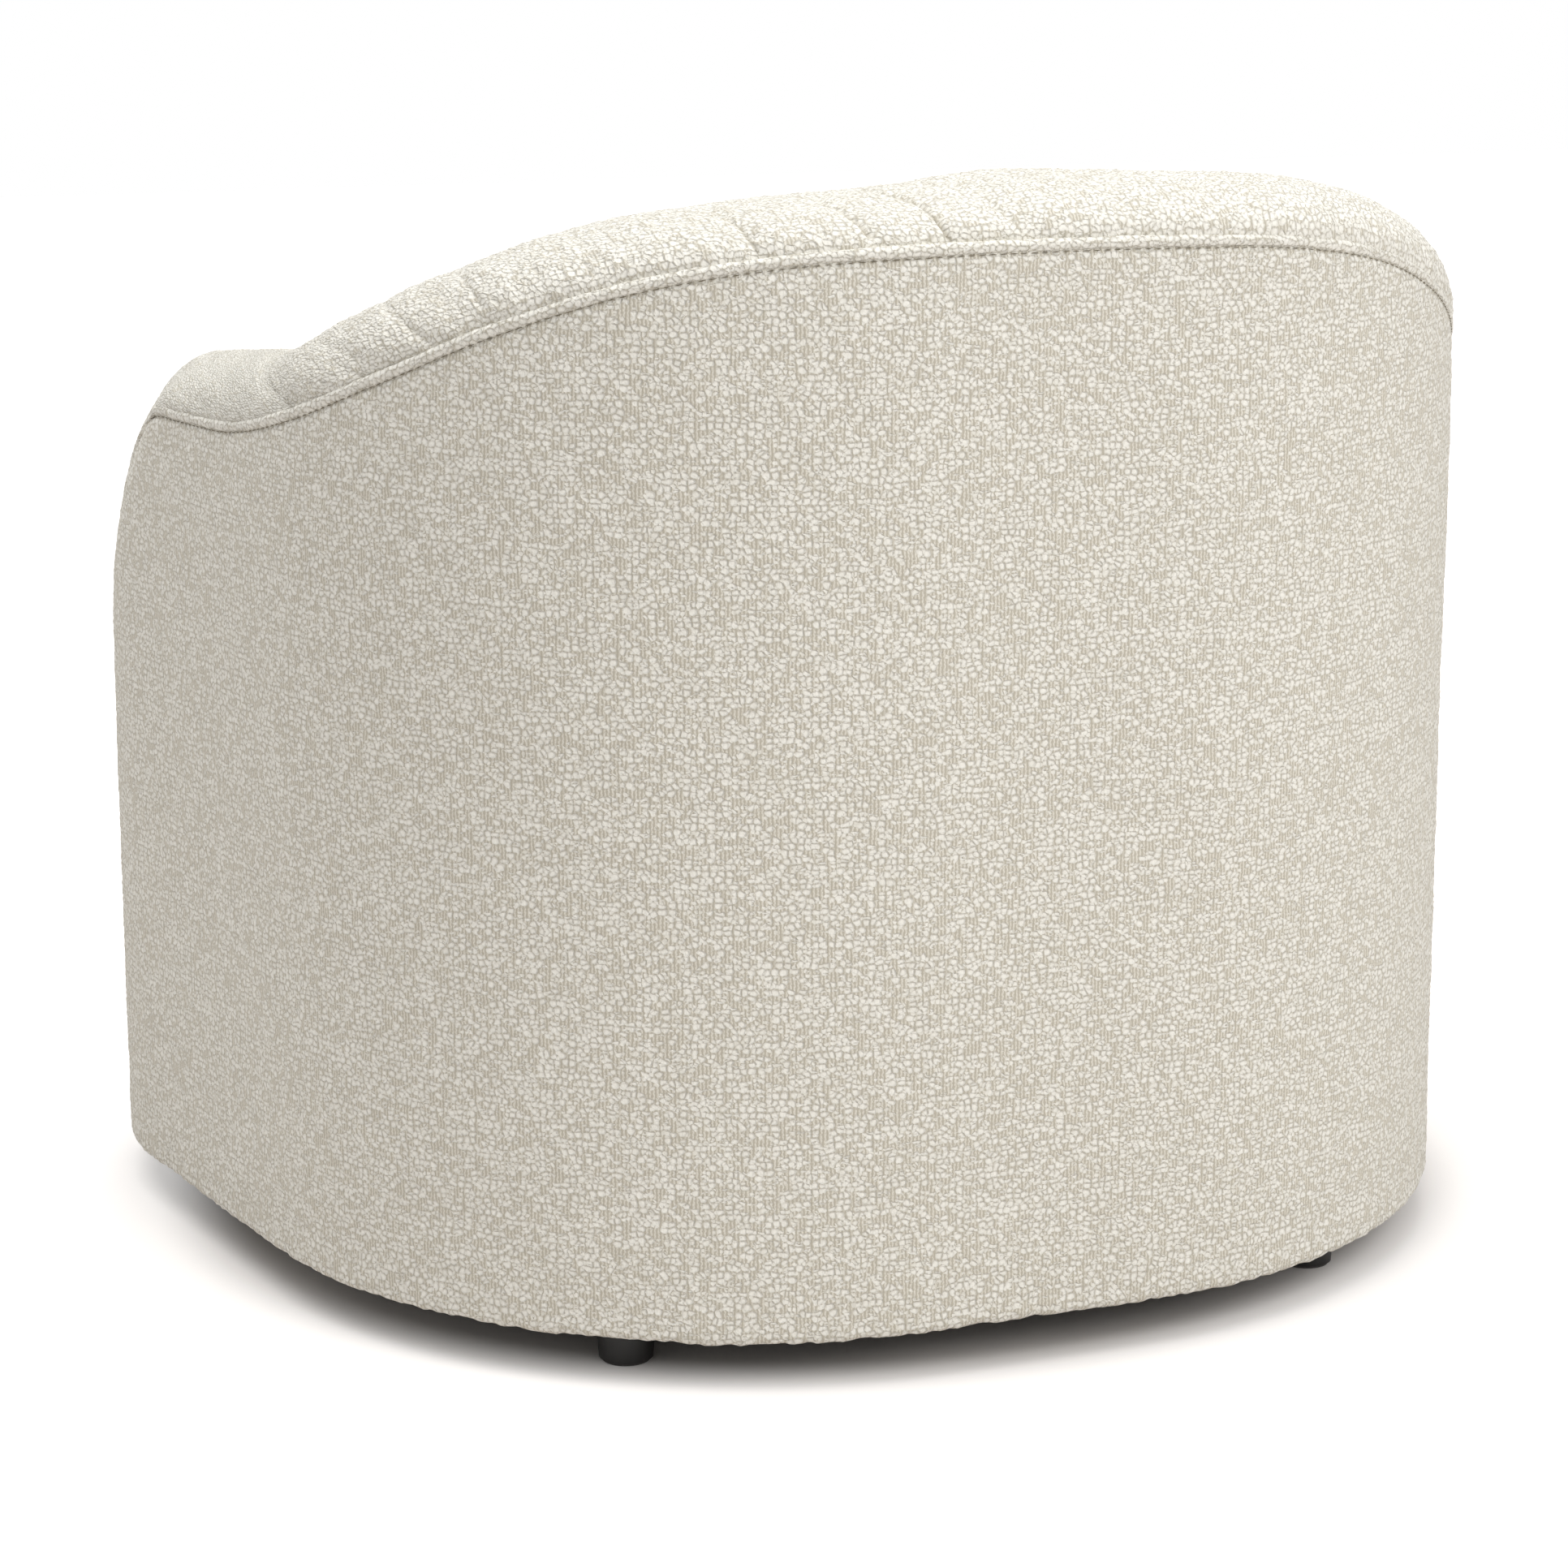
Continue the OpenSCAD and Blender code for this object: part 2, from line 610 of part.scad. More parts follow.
module apron_cover() {
    color(cream) sheet([for (f = apron_shares) apron_ring(f, apron_line(0))],
        [for (f = apron_shares) apron_ring(f, apron_line(lining_t))]);
}

// Board, wadding and cloth round the outside
edge_margin = welt_r + bend_gap;
tack_h = 12;
tack_t = 2;
nose_wrap = stations(s_board, s_foam_end);
nose_runs = [stations(s_board, s_drop - edge_margin), stations(s_drop + edge_margin, s_foam_end)];
// Top of the board that stands under the welt, and no higher than the padding's shoulder
function board_top(s) = min(shoulder(s), cover_edge(s, 0)) - edge_margin - tack_t;
module liner_band(list, high) {
    color(card_tint) outer_band(list, liner_in, liner_in + liner_t, function(q) base_z, high);
}
module outer_liner() { liner_band(whole_wall, function(q) board_top(q)); }
module nose_liner(side) { liner_band(turned(nose_wrap, side), function(q) rail_top_z); }
module nose_liner_left() { nose_liner(1); }
module nose_liner_right() { nose_liner(-1); }
module wadding_band(list, high) {
    outer_band(list, wadding_in, wadding_in + wadding_t, function(q) base_z, high);
}
module outer_wadding() {
    color(fibre_tint) {
        wadding_band(whole_wall, function(q) board_top(q) - tack_h - lay_gap);
        for (side = [-1, 1], run = nose_runs)
            wadding_band(turned(run, side), function(q) rail_top_z);
    }
}
module tack_strip() {
    color(card_tint) outer_band([for (s = whole_wall) if (abs(s) <= s_turn) s],
        liner_in - lay_gap - tack_t, liner_in - lay_gap,
        function(q) board_top(q) - tack_h, function(q) board_top(q));
}
s_cover = s_drop - edge_margin;
turn_step = 9;
turn_angles = [turn_step : turn_step : 90 - turn_step];
cover_half = concat(stations(0, s_turn),
    [for (a = turn_angles) s_turn + (turn_run - edge_margin) * sin(a)], [s_cover]);
turn_base = seam_arm_z - turn_drop;
function cover_top(s) = abs(s) >= s_cover ? turn_base : cover_edge(s, -edge_margin);
function hung(s, z, d) = z < shoulder(s) ? outer_at(s, d, z)
    : let (p = form_at(s, angle_of(s, z), d)) [p.x, p.y, z];
// Rows of the outside cover, up to the shoulder and from there to its top edge
low_shares = [0, 0.5, 1];
high_shares = [0.25, 0.5, 0.75, 1];
least_high_share = 0.1;
function cover_row(s, d) =
    let (top = cover_top(s), bend = min(shoulder(s), top - (top - hem_z) * least_high_share))
    concat([for (f = low_shares) hung(s, hem_z + (bend - hem_z) * f, d)],
        [for (f = high_shares) hung(s, bend + (top - bend) * f, d)]);
module outside_cover() {
    list = both(cover_half);
    color(cream) sheet([for (s = list) cover_row(s, 0)], [for (s = list) cover_row(s, cloth_t)]);
}

// Welt along the covers' edge, down both arm fronts to the hem
welt_path = concat([for (z = [hem_z, (hem_z + turn_base) / 2]) [s_drop, z]],
    [for (a = [90 : -turn_step : turn_step]) [s_turn + turn_run * sin(a), turn_base + turn_drop * cos(a)]],
    [for (s = reversed(stations(0, s_turn))) [s, seam_level(s)]]);
welt_whole = concat(welt_path, [for (q = reversed(welt_path)) if (q[0] > 0) [-q[0], q[1]]]);
welt_sides = 6;
welt_turns = [for (i = [0 : welt_sides - 1]) 360 * i / welt_sides];
module seam_welt() {
    line = [for (q = welt_whole) hung(q[0], q[1], welt_r)];
    last = len(line) - 1;
    function run(k) = let (t = line[min(k + 1, last)] - line[max(k - 1, 0)]) t / norm(t);
    function faced(k) = let (s = welt_whole[k][0], o = out(outer_plan(abs(s))[1]))
        [sgn(s) * o.x, o.y, 0];
    function ring(k) = let (t = run(k), n = faced(k) - (faced(k) * t) * t, a = n / norm(n), b = cross(t, a))
        [for (h = welt_turns) line[k] + welt_r * (cos(h) * a + sin(h) * b)];
    color(cream) stack([for (k = [0 : last]) ring(k)]);
}

// Covers over the top and inside: gathered round the back, plain on the arm fronts.
// Their meeting line slants forward as it climbs over the crown.
inside_low = felt_z;
function slant(a, share) = crease_slant * min(1, a / 90) * share;
function slanted(s, a) = s + sgn(s) * slant(a, min(1, pow(abs(s) / crease_s, 3)));
gather_count = 2 * gathers;
least_turn = 4;
module gathered_cover() {
    list = [for (k = [-gather_count : gather_count]) crease_s * k / gather_count];
    last = len(list) - 1;
    function lift(k, a) = k % 2 == 1 || k == 0 || k == last ? 0 : gather_h * sin(min(a, 90));
    function row(k, d, puff) =
        let (s = list[k], first = max(angle_of(s, cover_edge(s, edge_margin)), least_turn))
        concat([for (a = concat([first], cover_angles)) form_at(slanted(s, a), a, d - puff * lift(k, a))],
            [inner_at(slanted(s, 180), d - puff * lift(k, 90), inside_low)]);
    color(cream) sheet([for (k = [0 : last]) row(k, gather_h, 1)],
        [for (k = [0 : last]) row(k, gather_h + cloth_t, 0)]);
}
first_turn = 2;
module arm_front_cover(side) {
    edge = s_drop + edge_margin;
    list = concat(stations(crease_s + lay_gap, s_turn),
        [for (a = turn_angles) s_turn + (turn_run + edge_margin) * sin(a)],
        [edge], stations(edge + lay_gap, s_apron));
    function plain(s, a) = s + slant(a, pow(max(0, (s_apron - s) / (s_apron - crease_s)), 1.5));
    function low(s) = s > edge ? hem_z : max(cover_edge(s, edge_margin), turn_base);
    function start(s) = low(s) < shoulder(s) ? 0 : angle_of(s, low(s));
    function second(s, d) = start(s) > 0 ? form_at(side * s, start(s) + first_turn / 2, d)
        : outer_at(side * s, d, (low(s) + shoulder(s)) / 2);
    function row(s, d) = concat([hung(side * s, low(s), d), second(s, d)],
        [for (a = roll_angles) let (b = max(a, start(s) + first_turn + a / 9))
            form_at(side * plain(s, b), b, d)],
        [inner_at(side * plain(s, 180), d, inside_low)]);
    color(cream) sheet([for (s = list) row(s, 0)], [for (s = list) row(s, cloth_t)]);
}
module arm_front_cover_left() { arm_front_cover(1); }
module arm_front_cover_right() { arm_front_cover(-1); }

module dust_cover() {
    color(black_tint) difference() {
        translate([0, 0, base_z - dust_t]) linear_extrude(dust_t) outline(frame_in);
        at_feet(base_z - dust_t - cut)
            cylinder(r = foot_top_r + lay_gap, h = dust_t + 2 * cut, $fn = 48);
        at_screws(base_z - dust_t - cut)
            cylinder(r = screw_head_r + lay_gap, h = dust_t + 2 * cut, $fn = 32);
    }
}

// Feet: turned, stained black, each on a bolt into a tee nut
glide_t = 2;
glide_in = 2;
glide_r = foot_low_r - glide_in;
glide_tint = "#55524D";
bolt_in_foot = 22;
nut_share = 2 / 3;
nut_h = board_t * nut_share;
module feet() {
    color(black_tint) at_feet(glide_t) difference() {
        cylinder(r1 = foot_low_r, r2 = foot_top_r, h = base_z - glide_t, $fn = 64);
        translate([0, 0, base_z - glide_t - bolt_in_foot])
            cylinder(r = bolt_r + fit_gap, h = bolt_in_foot + cut, $fn = 48);
    }
}
module foot_glides() { color(glide_tint) at_feet(0) cylinder(r = glide_r, h = glide_t, $fn = 48); }
module foot_bolts() {
    color(steel_tint) at_feet(base_z - bolt_in_foot)
        cylinder(r = bolt_r, h = bolt_in_foot + board_t, $fn = 48);
}
module tee_nuts() {
    color(steel_tint) at_feet(base_top - nut_h) difference() {
        union() {
            cylinder(r = nut_r, h = nut_h, $fn = 48);
            translate([0, 0, nut_h]) cylinder(r = nut_flange_r, h = nut_flange_t, $fn = 48);
        }
        translate([0, 0, -cut]) cylinder(r = bolt_r + fit_gap, h = board_t + 2 * cut, $fn = 48);
    }
}

// Outline of the seat cushion: the inside line, a rounded front corner and the apron's arc
cushion_front_in = 4;
cushion_nose_r = 26;
cushion_step = 80;
side_end_share = 0.86;
s_cushion = s_nose + (s_apron - s_nose) * side_end_share;
third_shares = [1 / 3, 2 / 3, 1];
function drawn(s) = side_draw * sin(180 * min(1, max(0, (s - s_side) / (s_apron - s_side))));
function cushion_half(d) =
    let (inside = cushion_gap + d, side = inner_at(s_apron, -inside, 0).x, r = cushion_nose_r - d,
         big = apron_r - cushion_front_in - d, turn = 180 - asin((side - r) / (big - r)),
         arc_c = [0, half_depth + apron_c.y], c = arc_c + (big - r) * out(turn))
    concat([for (s = stations(0, s_cushion, cushion_step))
                let (p = inner_at(s, -inside - drawn(s), 0)) [p.x, p.y]],
        [for (f = concat([0], third_shares)) c + r * out(90 + (turn - 90) * f)],
        [for (f = third_shares) arc_c + big * out(turn + (180 - turn) * f)]);
function cushion_loop(d) = let (half = cushion_half(d), n = len(half))
    concat(half, [for (k = [n - 2 : -1 : 1]) [-half[k].x, half[k].y]]);
function lifted(loop, z) = [for (p = loop) [p.x, p.y, z]];
cushion_mid = [0, -half_depth / 10];
function drawn_to(loop, f, z) = [for (p = loop) let (q = cushion_mid + (p - cushion_mid) * f)
    [q.x, q.y, z]];

// Heights in the cushion
cushion_z = seat_z;
low_edge = cushion_z + 2 * welt_r + lay_gap;
high_edge = cushion_z + cushion_t;
panel_in = 2 * welt_r + lay_gap;
fibre_t = 14;
foam_low = low_edge + fibre_t;
foam_high = high_edge - fibre_t;
boxing_low = low_edge + welt_r + lay_gap;
boxing_high = high_edge - welt_r - lay_gap;
boxing_in = 2.5;
boxing_puff = 2;
zip_half = 55;
zip_h = 10;
tape_t = 1.2;
tape_edge = 8;
tape_in = boxing_in + cloth_t + lay_gap;
cushion_foam_in = tape_in + tape_t + lay_gap;

// Crown of the cushion's faces: how much of it is reached at each share of the way out
crown_shares = [1, 0.93, 0.8, 0.55];
base_shares = [1, 0.85, 0.5];
function crown_of(f) = 1 - pow(f, 2.6);
base_sag = low_edge - welt_r - cushion_z;
panel_loop = cushion_loop(panel_in);
function top_rows(d) = [for (f = crown_shares)
    drawn_to(panel_loop, f, high_edge + cushion_crown * crown_of(f) - d)];
function base_rows(d) = [for (f = base_shares)
    drawn_to(panel_loop, f, low_edge - welt_r - base_sag * crown_of(f) + d)];

module cushion_foam() {
    color(foam_tint) translate([0, 0, foam_low]) linear_extrude(foam_high - foam_low)
        polygon(cushion_loop(cushion_foam_in));
}
module cushion_fibre_top() {
    color(fibre_tint) stack(concat([lifted(panel_loop, foam_high + lay_gap)],
        top_rows(cloth_t + lay_gap)));
}
module cushion_fibre_base() {
    color(fibre_tint) stack(concat([lifted(panel_loop, foam_low - lay_gap)],
        base_rows(cloth_t + lay_gap)));
}
module cushion_top_panel() { color(cream) stack(concat(reversed(top_rows(cloth_t)), top_rows(0))); }
module cushion_base_panel() { color(cream) stack(concat(reversed(base_rows(cloth_t)), base_rows(0))); }
boxing_shares = [0, 0.25, 0.75, 1];
function boxing_point(f) =
    [boxing_in - boxing_puff * sin(180 * f), boxing_low + (boxing_high - boxing_low) * f];
zip_z = (boxing_low + boxing_high) / 2;
cushion_back_y = half_depth - wall_t - cushion_gap;
module cushion_boxing() {
    line = concat([for (f = boxing_shares) boxing_point(f)],
        [[boxing_in + cloth_t, boxing_high], [boxing_in + cloth_t, boxing_low]]);
    color(cream) difference() {
        hoop([for (q = line) lifted(cushion_loop(q[0]), q[1])]);
        translate([-zip_half, cushion_back_y - 2 * tape_in, zip_z - zip_h / 2])
            cube([2 * zip_half, 3 * tape_in, zip_h]);
    }
}
module cushion_welt(z) {
    color(cream) hoop([for (a = [0 : 72 : 288])
        lifted(cushion_loop(welt_r - welt_r * cos(a)), z + welt_r * sin(a))]);
}
module cushion_welts() { for (z = [low_edge, high_edge]) cushion_welt(z); }
tape_y = cushion_back_y - tape_in - tape_t;
module zip_tape() {
    color(card_tint) translate([-zip_half - tape_edge, tape_y, zip_z - zip_h / 2 - tape_edge])
        cube([2 * (zip_half + tape_edge), tape_t, zip_h + 2 * tape_edge]);
}
slider_w = 8;
slider_h = 9;
slider_t = 4.8;
slider_x = slider_w - zip_half;
pull_l = 22;
pull_w = 5;
pull_t = 1.2;
module zip_slider() {
    y = tape_y + tape_t + lay_gap;
    color(steel_tint) {
        translate([slider_x - slider_w / 2, y, zip_z - slider_h / 2])
            cube([slider_w, slider_t, slider_h]);
        translate([slider_x - pull_w / 2, y + slider_t, zip_z - pull_l])
            cube([pull_w, pull_t, pull_l]);
    }
}

base_board_front();
base_board_back();
base_board_left();
base_board_right();
front_rail();
back_rail();
side_rail_left();
side_rail_right();
corner_blocks();
block_screws();
back_posts();
arm_posts();
lower_back_rail();
top_rail_back();
top_rail_left();
top_rail_right();
arm_board_left();
arm_board_right();
seat_springs();
spring_clips();
spring_felt();
deck_foam();
deck_cloth();
back_webbing();
arm_panel_left();
arm_panel_right();
back_foam();
arm_foam_left();
arm_foam_right();
roll_foam();
roll_wadding();
nose_foam_left();
nose_foam_right();
apron_foam();
outer_liner();
nose_liner_left();
nose_liner_right();
outer_wadding();
tack_strip();
outside_cover();
gathered_cover();
arm_front_cover_left();
arm_front_cover_right();
apron_cover();
seam_welt();
dust_cover();
feet();
foot_glides();
foot_bolts();
tee_nuts();
cushion_foam();
cushion_fibre_top();
cushion_fibre_base();
cushion_top_panel();
cushion_boxing();
cushion_base_panel();
cushion_welts();
zip_tape();
zip_slider();
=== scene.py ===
"""Barrel tub chair in cream looped wool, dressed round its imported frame."""

import logging
import math
from dataclasses import dataclass
from enum import Enum

import bmesh
import bpy
import numpy as np
from mathutils import Matrix, Vector


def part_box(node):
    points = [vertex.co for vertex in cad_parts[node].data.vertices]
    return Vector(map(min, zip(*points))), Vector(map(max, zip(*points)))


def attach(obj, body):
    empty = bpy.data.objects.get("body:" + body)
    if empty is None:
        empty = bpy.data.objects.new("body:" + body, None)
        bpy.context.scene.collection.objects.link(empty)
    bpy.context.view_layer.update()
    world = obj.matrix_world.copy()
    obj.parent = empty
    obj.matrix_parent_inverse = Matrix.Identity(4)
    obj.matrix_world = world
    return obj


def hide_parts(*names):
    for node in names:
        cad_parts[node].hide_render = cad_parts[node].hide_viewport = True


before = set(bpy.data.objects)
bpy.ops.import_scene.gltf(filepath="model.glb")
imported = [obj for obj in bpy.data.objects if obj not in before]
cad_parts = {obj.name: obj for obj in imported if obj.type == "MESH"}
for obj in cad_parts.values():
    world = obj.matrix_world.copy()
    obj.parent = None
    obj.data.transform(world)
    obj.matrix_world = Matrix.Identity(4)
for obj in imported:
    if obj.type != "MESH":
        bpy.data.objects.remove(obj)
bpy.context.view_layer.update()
MM = 0.001
TURN = 2 * math.pi
TINY = 1e-12
SCATTER = (127.1, 311.7, 74.7, 43758.5453)
OVER_POINTS = 90
DOWN_POINTS = 60
LOOPS_CLOSE = 0.6
log = logging.getLogger("tub_chair")

Colour = tuple[float, float, float]
Array = np.ndarray


# The chair's form


def rays(heading: Array) -> Array:
    """Return the unit vectors out of the plan outline at headings in radians."""
    return np.stack([np.sin(heading), np.cos(heading)], axis=-1)


def runs(heading: Array) -> Array:
    """Return the unit vectors along the plan outline at headings in radians."""
    return np.stack([np.cos(heading), -np.sin(heading)], axis=-1)


def shares_at(shares: tuple[float, ...], t: Array) -> Array:
    """Read a smooth curve through evenly spaced shares.

    Args:
        shares: Values at 0, 1, 2 and so on.
        t: Places to read, in steps.

    Returns:
        The curve's value at each place.
    """
    values, last = np.array(shares), len(shares) - 1
    k = np.clip(np.floor(t), 0, last - 1).astype(int)
    f = np.minimum(t - k, 1)
    a, b = values[np.maximum(k - 1, 0)], values[k]
    c, d = values[k + 1], values[np.minimum(k + 2, last)]
    bend, twist = 2 * a - 5 * b + 4 * c - d, 3 * b - a - 3 * c + d
    return b + f * ((c - a) + f * (bend + f * twist)) / 2


@dataclass(frozen=True)
class WallForm:
    """The padded wall's form, by the same sizes as the frame, in metres."""

    back_flat: float = 63 * MM
    corner_r: float = 328 * MM
    side_turn: float = math.radians(81.5)
    side_run: float = 200 * MM
    nose_r: float = 220 * MM
    nose_turn: float = math.radians(160)
    wall_t: float = 150 * MM
    hem_z: float = 30 * MM
    seam_back_z: float = 651 * MM
    seam_arm_z: float = 527 * MM
    crown_back_z: float = 688 * MM
    crown_arm_z: float = 548 * MM
    nose_shoulder_z: float = 346 * MM
    cloth_t: float = 3 * MM
    tip_t: float = 14 * MM
    bend_share: float = 0.1
    tip_rise: float = 12 * MM
    fall_step: float = 80 * MM
    seam_falls: tuple[float, ...] = (1, 0.993, 0.958, 0.848, 0.646, 0.392, 0.165, 0.03, 0, 0)
    crown_falls: tuple[float, ...] = (
        1, 0.958, 0.917, 0.853, 0.748, 0.598, 0.413, 0.229, 0.103, 0.042, 0, 0,
    )
    turn_lead: float = 67 * MM
    turn_run: float = 167 * MM
    turn_past_shoulder: float = 16 * MM
    nose_fade: float = 0.16
    crease_s: float = 475 * MM
    crease_slant: float = 165 * MM
    inside_low: float = 230.9 * MM
    hem_turn: float = 22 * MM
    hem_roll: float = 5 * MM
    hem_sag: float = 0.4 * MM

    def __post_init__(self) -> None:
        """Work out the outline's arcs and the places where it changes."""
        turn = self.nose_turn - self.side_turn
        s_side = self.back_flat + self.corner_r * self.side_turn
        s_nose = s_side + self.side_run
        corner_c = np.array([self.back_flat, -self.corner_r])
        side_start = corner_c + self.corner_r * rays(self.side_turn)
        side_end = side_start + self.side_run * runs(self.side_turn)
        nose_c = side_end - self.nose_r * rays(self.side_turn)
        nose_end = nose_c + self.nose_r * rays(self.nose_turn)
        apron_r = nose_end[0] / math.sin(self.nose_turn)
        apron_c = nose_end - apron_r * rays(self.nose_turn)
        bend_from = side_end - self.wall_t * rays(self.side_turn)
        bend_to = np.array([nose_end[0] - self.cloth_t, nose_end[1] + self.tip_t])
        reach = self.bend_share * float(np.linalg.norm(bend_to - bend_from))
        worked_out = {
            "s_side": s_side,
            "s_nose": s_nose,
            "s_apron": s_nose + self.nose_r * turn,
            "s_turn": s_nose - self.turn_lead,
            "s_drop": s_nose - self.turn_lead + self.turn_run,
            "turn_drop": self.seam_arm_z - self.nose_shoulder_z + self.turn_past_shoulder,
            "turn_base": self.nose_shoulder_z - self.turn_past_shoulder,
            "corner_c": corner_c,
            "side_start": side_start,
            "nose_c": nose_c,
            "apron_r": apron_r,
            "apron_c": apron_c,
            "bend": (bend_from, bend_from + reach * runs(self.side_turn), bend_to),
            "half_depth": (apron_r - apron_c[1]) / 2,
        }
        for name, value in worked_out.items():
            object.__setattr__(self, name, value)

    def outer_plan(self, u: Array) -> tuple[Array, Array]:
        """Return the outline's points and headings at arc lengths u from the back."""
        u = np.asarray(u, float)
        corner = (u - self.back_flat) / self.corner_r
        nose = self.side_turn + (u - self.s_nose) / self.nose_r
        apron = self.nose_turn + (u - self.s_apron) / self.apron_r
        places = [u < self.back_flat, u < self.s_side, u < self.s_nose, u < self.s_apron]
        flat = np.stack([u, 0 * u], axis=-1)
        straight = self.side_start + (u - self.s_side)[..., None] * runs(self.side_turn)
        points = [
            flat,
            self.corner_c + self.corner_r * rays(corner),
            straight,
            self.nose_c + self.nose_r * rays(nose),
        ]
        last = self.apron_c + self.apron_r * rays(apron)
        heading = np.select(places, [0 * u, corner, 0 * u + self.side_turn, nose], apron)
        return np.select([p[..., None] for p in places], points, last), heading

    def inner_plan(self, u: Array) -> tuple[Array, Array]:
        """Return the inside line's points and headings at arc lengths u."""
        point, heading = self.outer_plan(u)
        along_wall = point - self.wall_t * rays(heading)
        a, b, c = self.bend
        f = np.clip((u - self.s_nose) / (self.s_apron - self.s_nose), 0, 1)[..., None]
        curve = (1 - f) ** 2 * a + 2 * f * (1 - f) * b + f**2 * c
        slope = 2 * (1 - f) * (b - a) + 2 * f * (c - b)
        bend_heading = np.arctan2(-slope[..., 1], slope[..., 0])
        at_wall = u < self.s_nose
        return (
            np.where(at_wall[..., None], along_wall, curve),
            np.where(at_wall, heading, bend_heading),
        )

    def placed(self, plan: Array, s: Array, z: Array) -> Array:
        """Put plan points on the side that s gives, at heights z."""
        side = np.where(np.asarray(s) < 0, -1.0, 1.0)
        x, y = side * plan[..., 0], plan[..., 1] + self.half_depth
        return np.stack(np.broadcast_arrays(x, y, z), axis=-1)

    def outer_at(self, s: Array, inset: Array, z: Array) -> Array:
        """Return points of the outside at stations s, inset under it, at heights z."""
        point, heading = self.outer_plan(np.abs(s))
        return self.placed(point - np.asarray(inset)[..., None] * rays(heading), s, z)

    def inner_at(self, s: Array, behind: Array, z: Array) -> Array:
        """Return points of the inside at stations s, behind its face, at heights z."""
        point, heading = self.inner_plan(np.abs(s))
        return self.placed(point + np.asarray(behind)[..., None] * rays(heading), s, z)

    def seam_level(self, s: Array) -> Array:
        """Return the welt's height at stations s."""
        share = shares_at(self.seam_falls, np.abs(s) / self.fall_step)
        return self.seam_arm_z + (self.seam_back_z - self.seam_arm_z) * share

    def crown_level(self, s: Array) -> Array:
        """Return the crown's height at stations s."""
        share = shares_at(self.crown_falls, np.abs(s) / self.fall_step)
        return self.crown_arm_z + (self.crown_back_z - self.crown_arm_z) * share

    def shoulder(self, s: Array) -> Array:
        """Return the height at which the wall starts to curve in at stations s."""
        t = np.clip((np.abs(s) - self.s_turn) / self.turn_run, 0, 1)
        dropped = (self.nose_shoulder_z - self.seam_arm_z) * t * t * (3 - 2 * t)
        return np.where(t > 0, self.seam_arm_z + dropped, self.seam_level(s))

    def rise(self, s: Array) -> Array:
        """Return the crown's rise over the shoulder at stations s."""
        f = (np.abs(s) - self.s_nose) / (self.s_apron - self.s_nose)
        g = np.clip((f - self.nose_fade) / (1 - self.nose_fade), 0, 1)
        full = self.crown_level(s) - self.shoulder(s)
        return np.maximum(self.tip_rise, full * np.sqrt(1 - g * g))

    def form_at(self, s: Array, a: Array, d: Array) -> Array:
        """Return points over the crown.

        Args:
            s: Stations along the wall.
            a: Angles in radians, from 0 on the outside to pi on the inside.
            d: Depths under the form's face.

        Returns:
            The points, with their last axis x, y, z.
        """
        s, a, d = np.broadcast_arrays(*(np.asarray(v, float) for v in (s, a, d)))
        o, i = self.outer_at(s, d, 0 * s), self.inner_at(s, d, 0 * s)
        w = ((1 - np.cos(a)) / 2)[..., None]
        z = self.shoulder(s) + np.maximum(self.rise(s) - d, 0) * np.sin(a)
        point = o + (i - o) * w
        point[..., 2] = z
        return point

    def angle_of(self, s: Array, z: Array) -> Array:
        """Return the angle over the crown at which the outside reaches height z."""
        return np.arcsin(np.clip((z - self.shoulder(s)) / self.rise(s), 0, 1))

    def hung(self, s: Array, z: Array, d: Array) -> Array:
        """Return points of the outside at heights z, curved in above the shoulder."""
        s, z, d = np.broadcast_arrays(*(np.asarray(v, float) for v in (s, z, d)))
        curved = self.form_at(s, self.angle_of(s, z), d)
        curved[..., 2] = z
        upright = self.outer_at(s, d, z)
        return np.where((z < self.shoulder(s))[..., None], upright, curved)

    def cover_edge(self, s: Array, margin: float) -> Array:
        """Return the height of the welt's line, moved outwards by a margin."""
        d = np.abs(s) - self.s_turn
        a, b = self.turn_run + margin, self.turn_drop + margin
        bent = self.turn_base + b * np.sqrt(np.clip(1 - (d / a) ** 2, 0, 1))
        return np.where(d <= 0, self.seam_level(s) + margin, bent)

    def slanted(self, s: Array, a: Array) -> Array:
        """Return stations of the gathered cover, leaning forward over the crown."""
        share = np.clip((np.abs(s) / self.crease_s) ** 3, 0, 1)
        lean = self.crease_slant * np.minimum(1, np.asarray(a) / (math.pi / 2)) * share
        return s + np.where(s < 0, -1, 1) * lean

    def plain(self, s: Array, a: Array) -> Array:
        """Return stations of an arm front's cover, leaning forward over the crown."""
        left = np.clip((self.s_apron - s) / (self.s_apron - self.crease_s), 0, 1)
        return s + self.crease_slant * np.minimum(1, np.asarray(a) / (math.pi / 2)) * left**1.5

    def hem_rounding(self, low: Array) -> Array:
        """Return how far a cover is rounded in at heights low over the hem."""
        return self.hem_roll * (1 - np.sqrt(1 - np.clip(1 - low / self.hem_roll, 0, 1) ** 2))

    def turned_hem(self, s: Array) -> Array:
        """Return two rows of points of the cloth turned in under the hem at stations s."""
        turned = self.outer_at(s, self.hem_turn, self.hem_z + MM + 0 * s)
        halfway = self.outer_at(s, self.hem_turn / 2, self.hem_z - self.hem_sag + 0 * s)
        halfway[:, 2] += hem_waves(s, 0 * s)
        return np.stack([turned, halfway], axis=1)

    def hem_places(self, z: Array) -> Array:
        """Return heights z along the cloth with the turned hem's two rows before them."""
        under = [z[:, :1] - self.hem_turn, z[:, :1] - self.hem_turn / 2]
        return np.concatenate([*under, z], axis=1)

    @property
    def middle(self) -> Array:
        """Return the plan point that the seat's flat pieces are drawn in towards."""
        return np.array([0.0, -self.half_depth / 10])


# Cloth and meshes


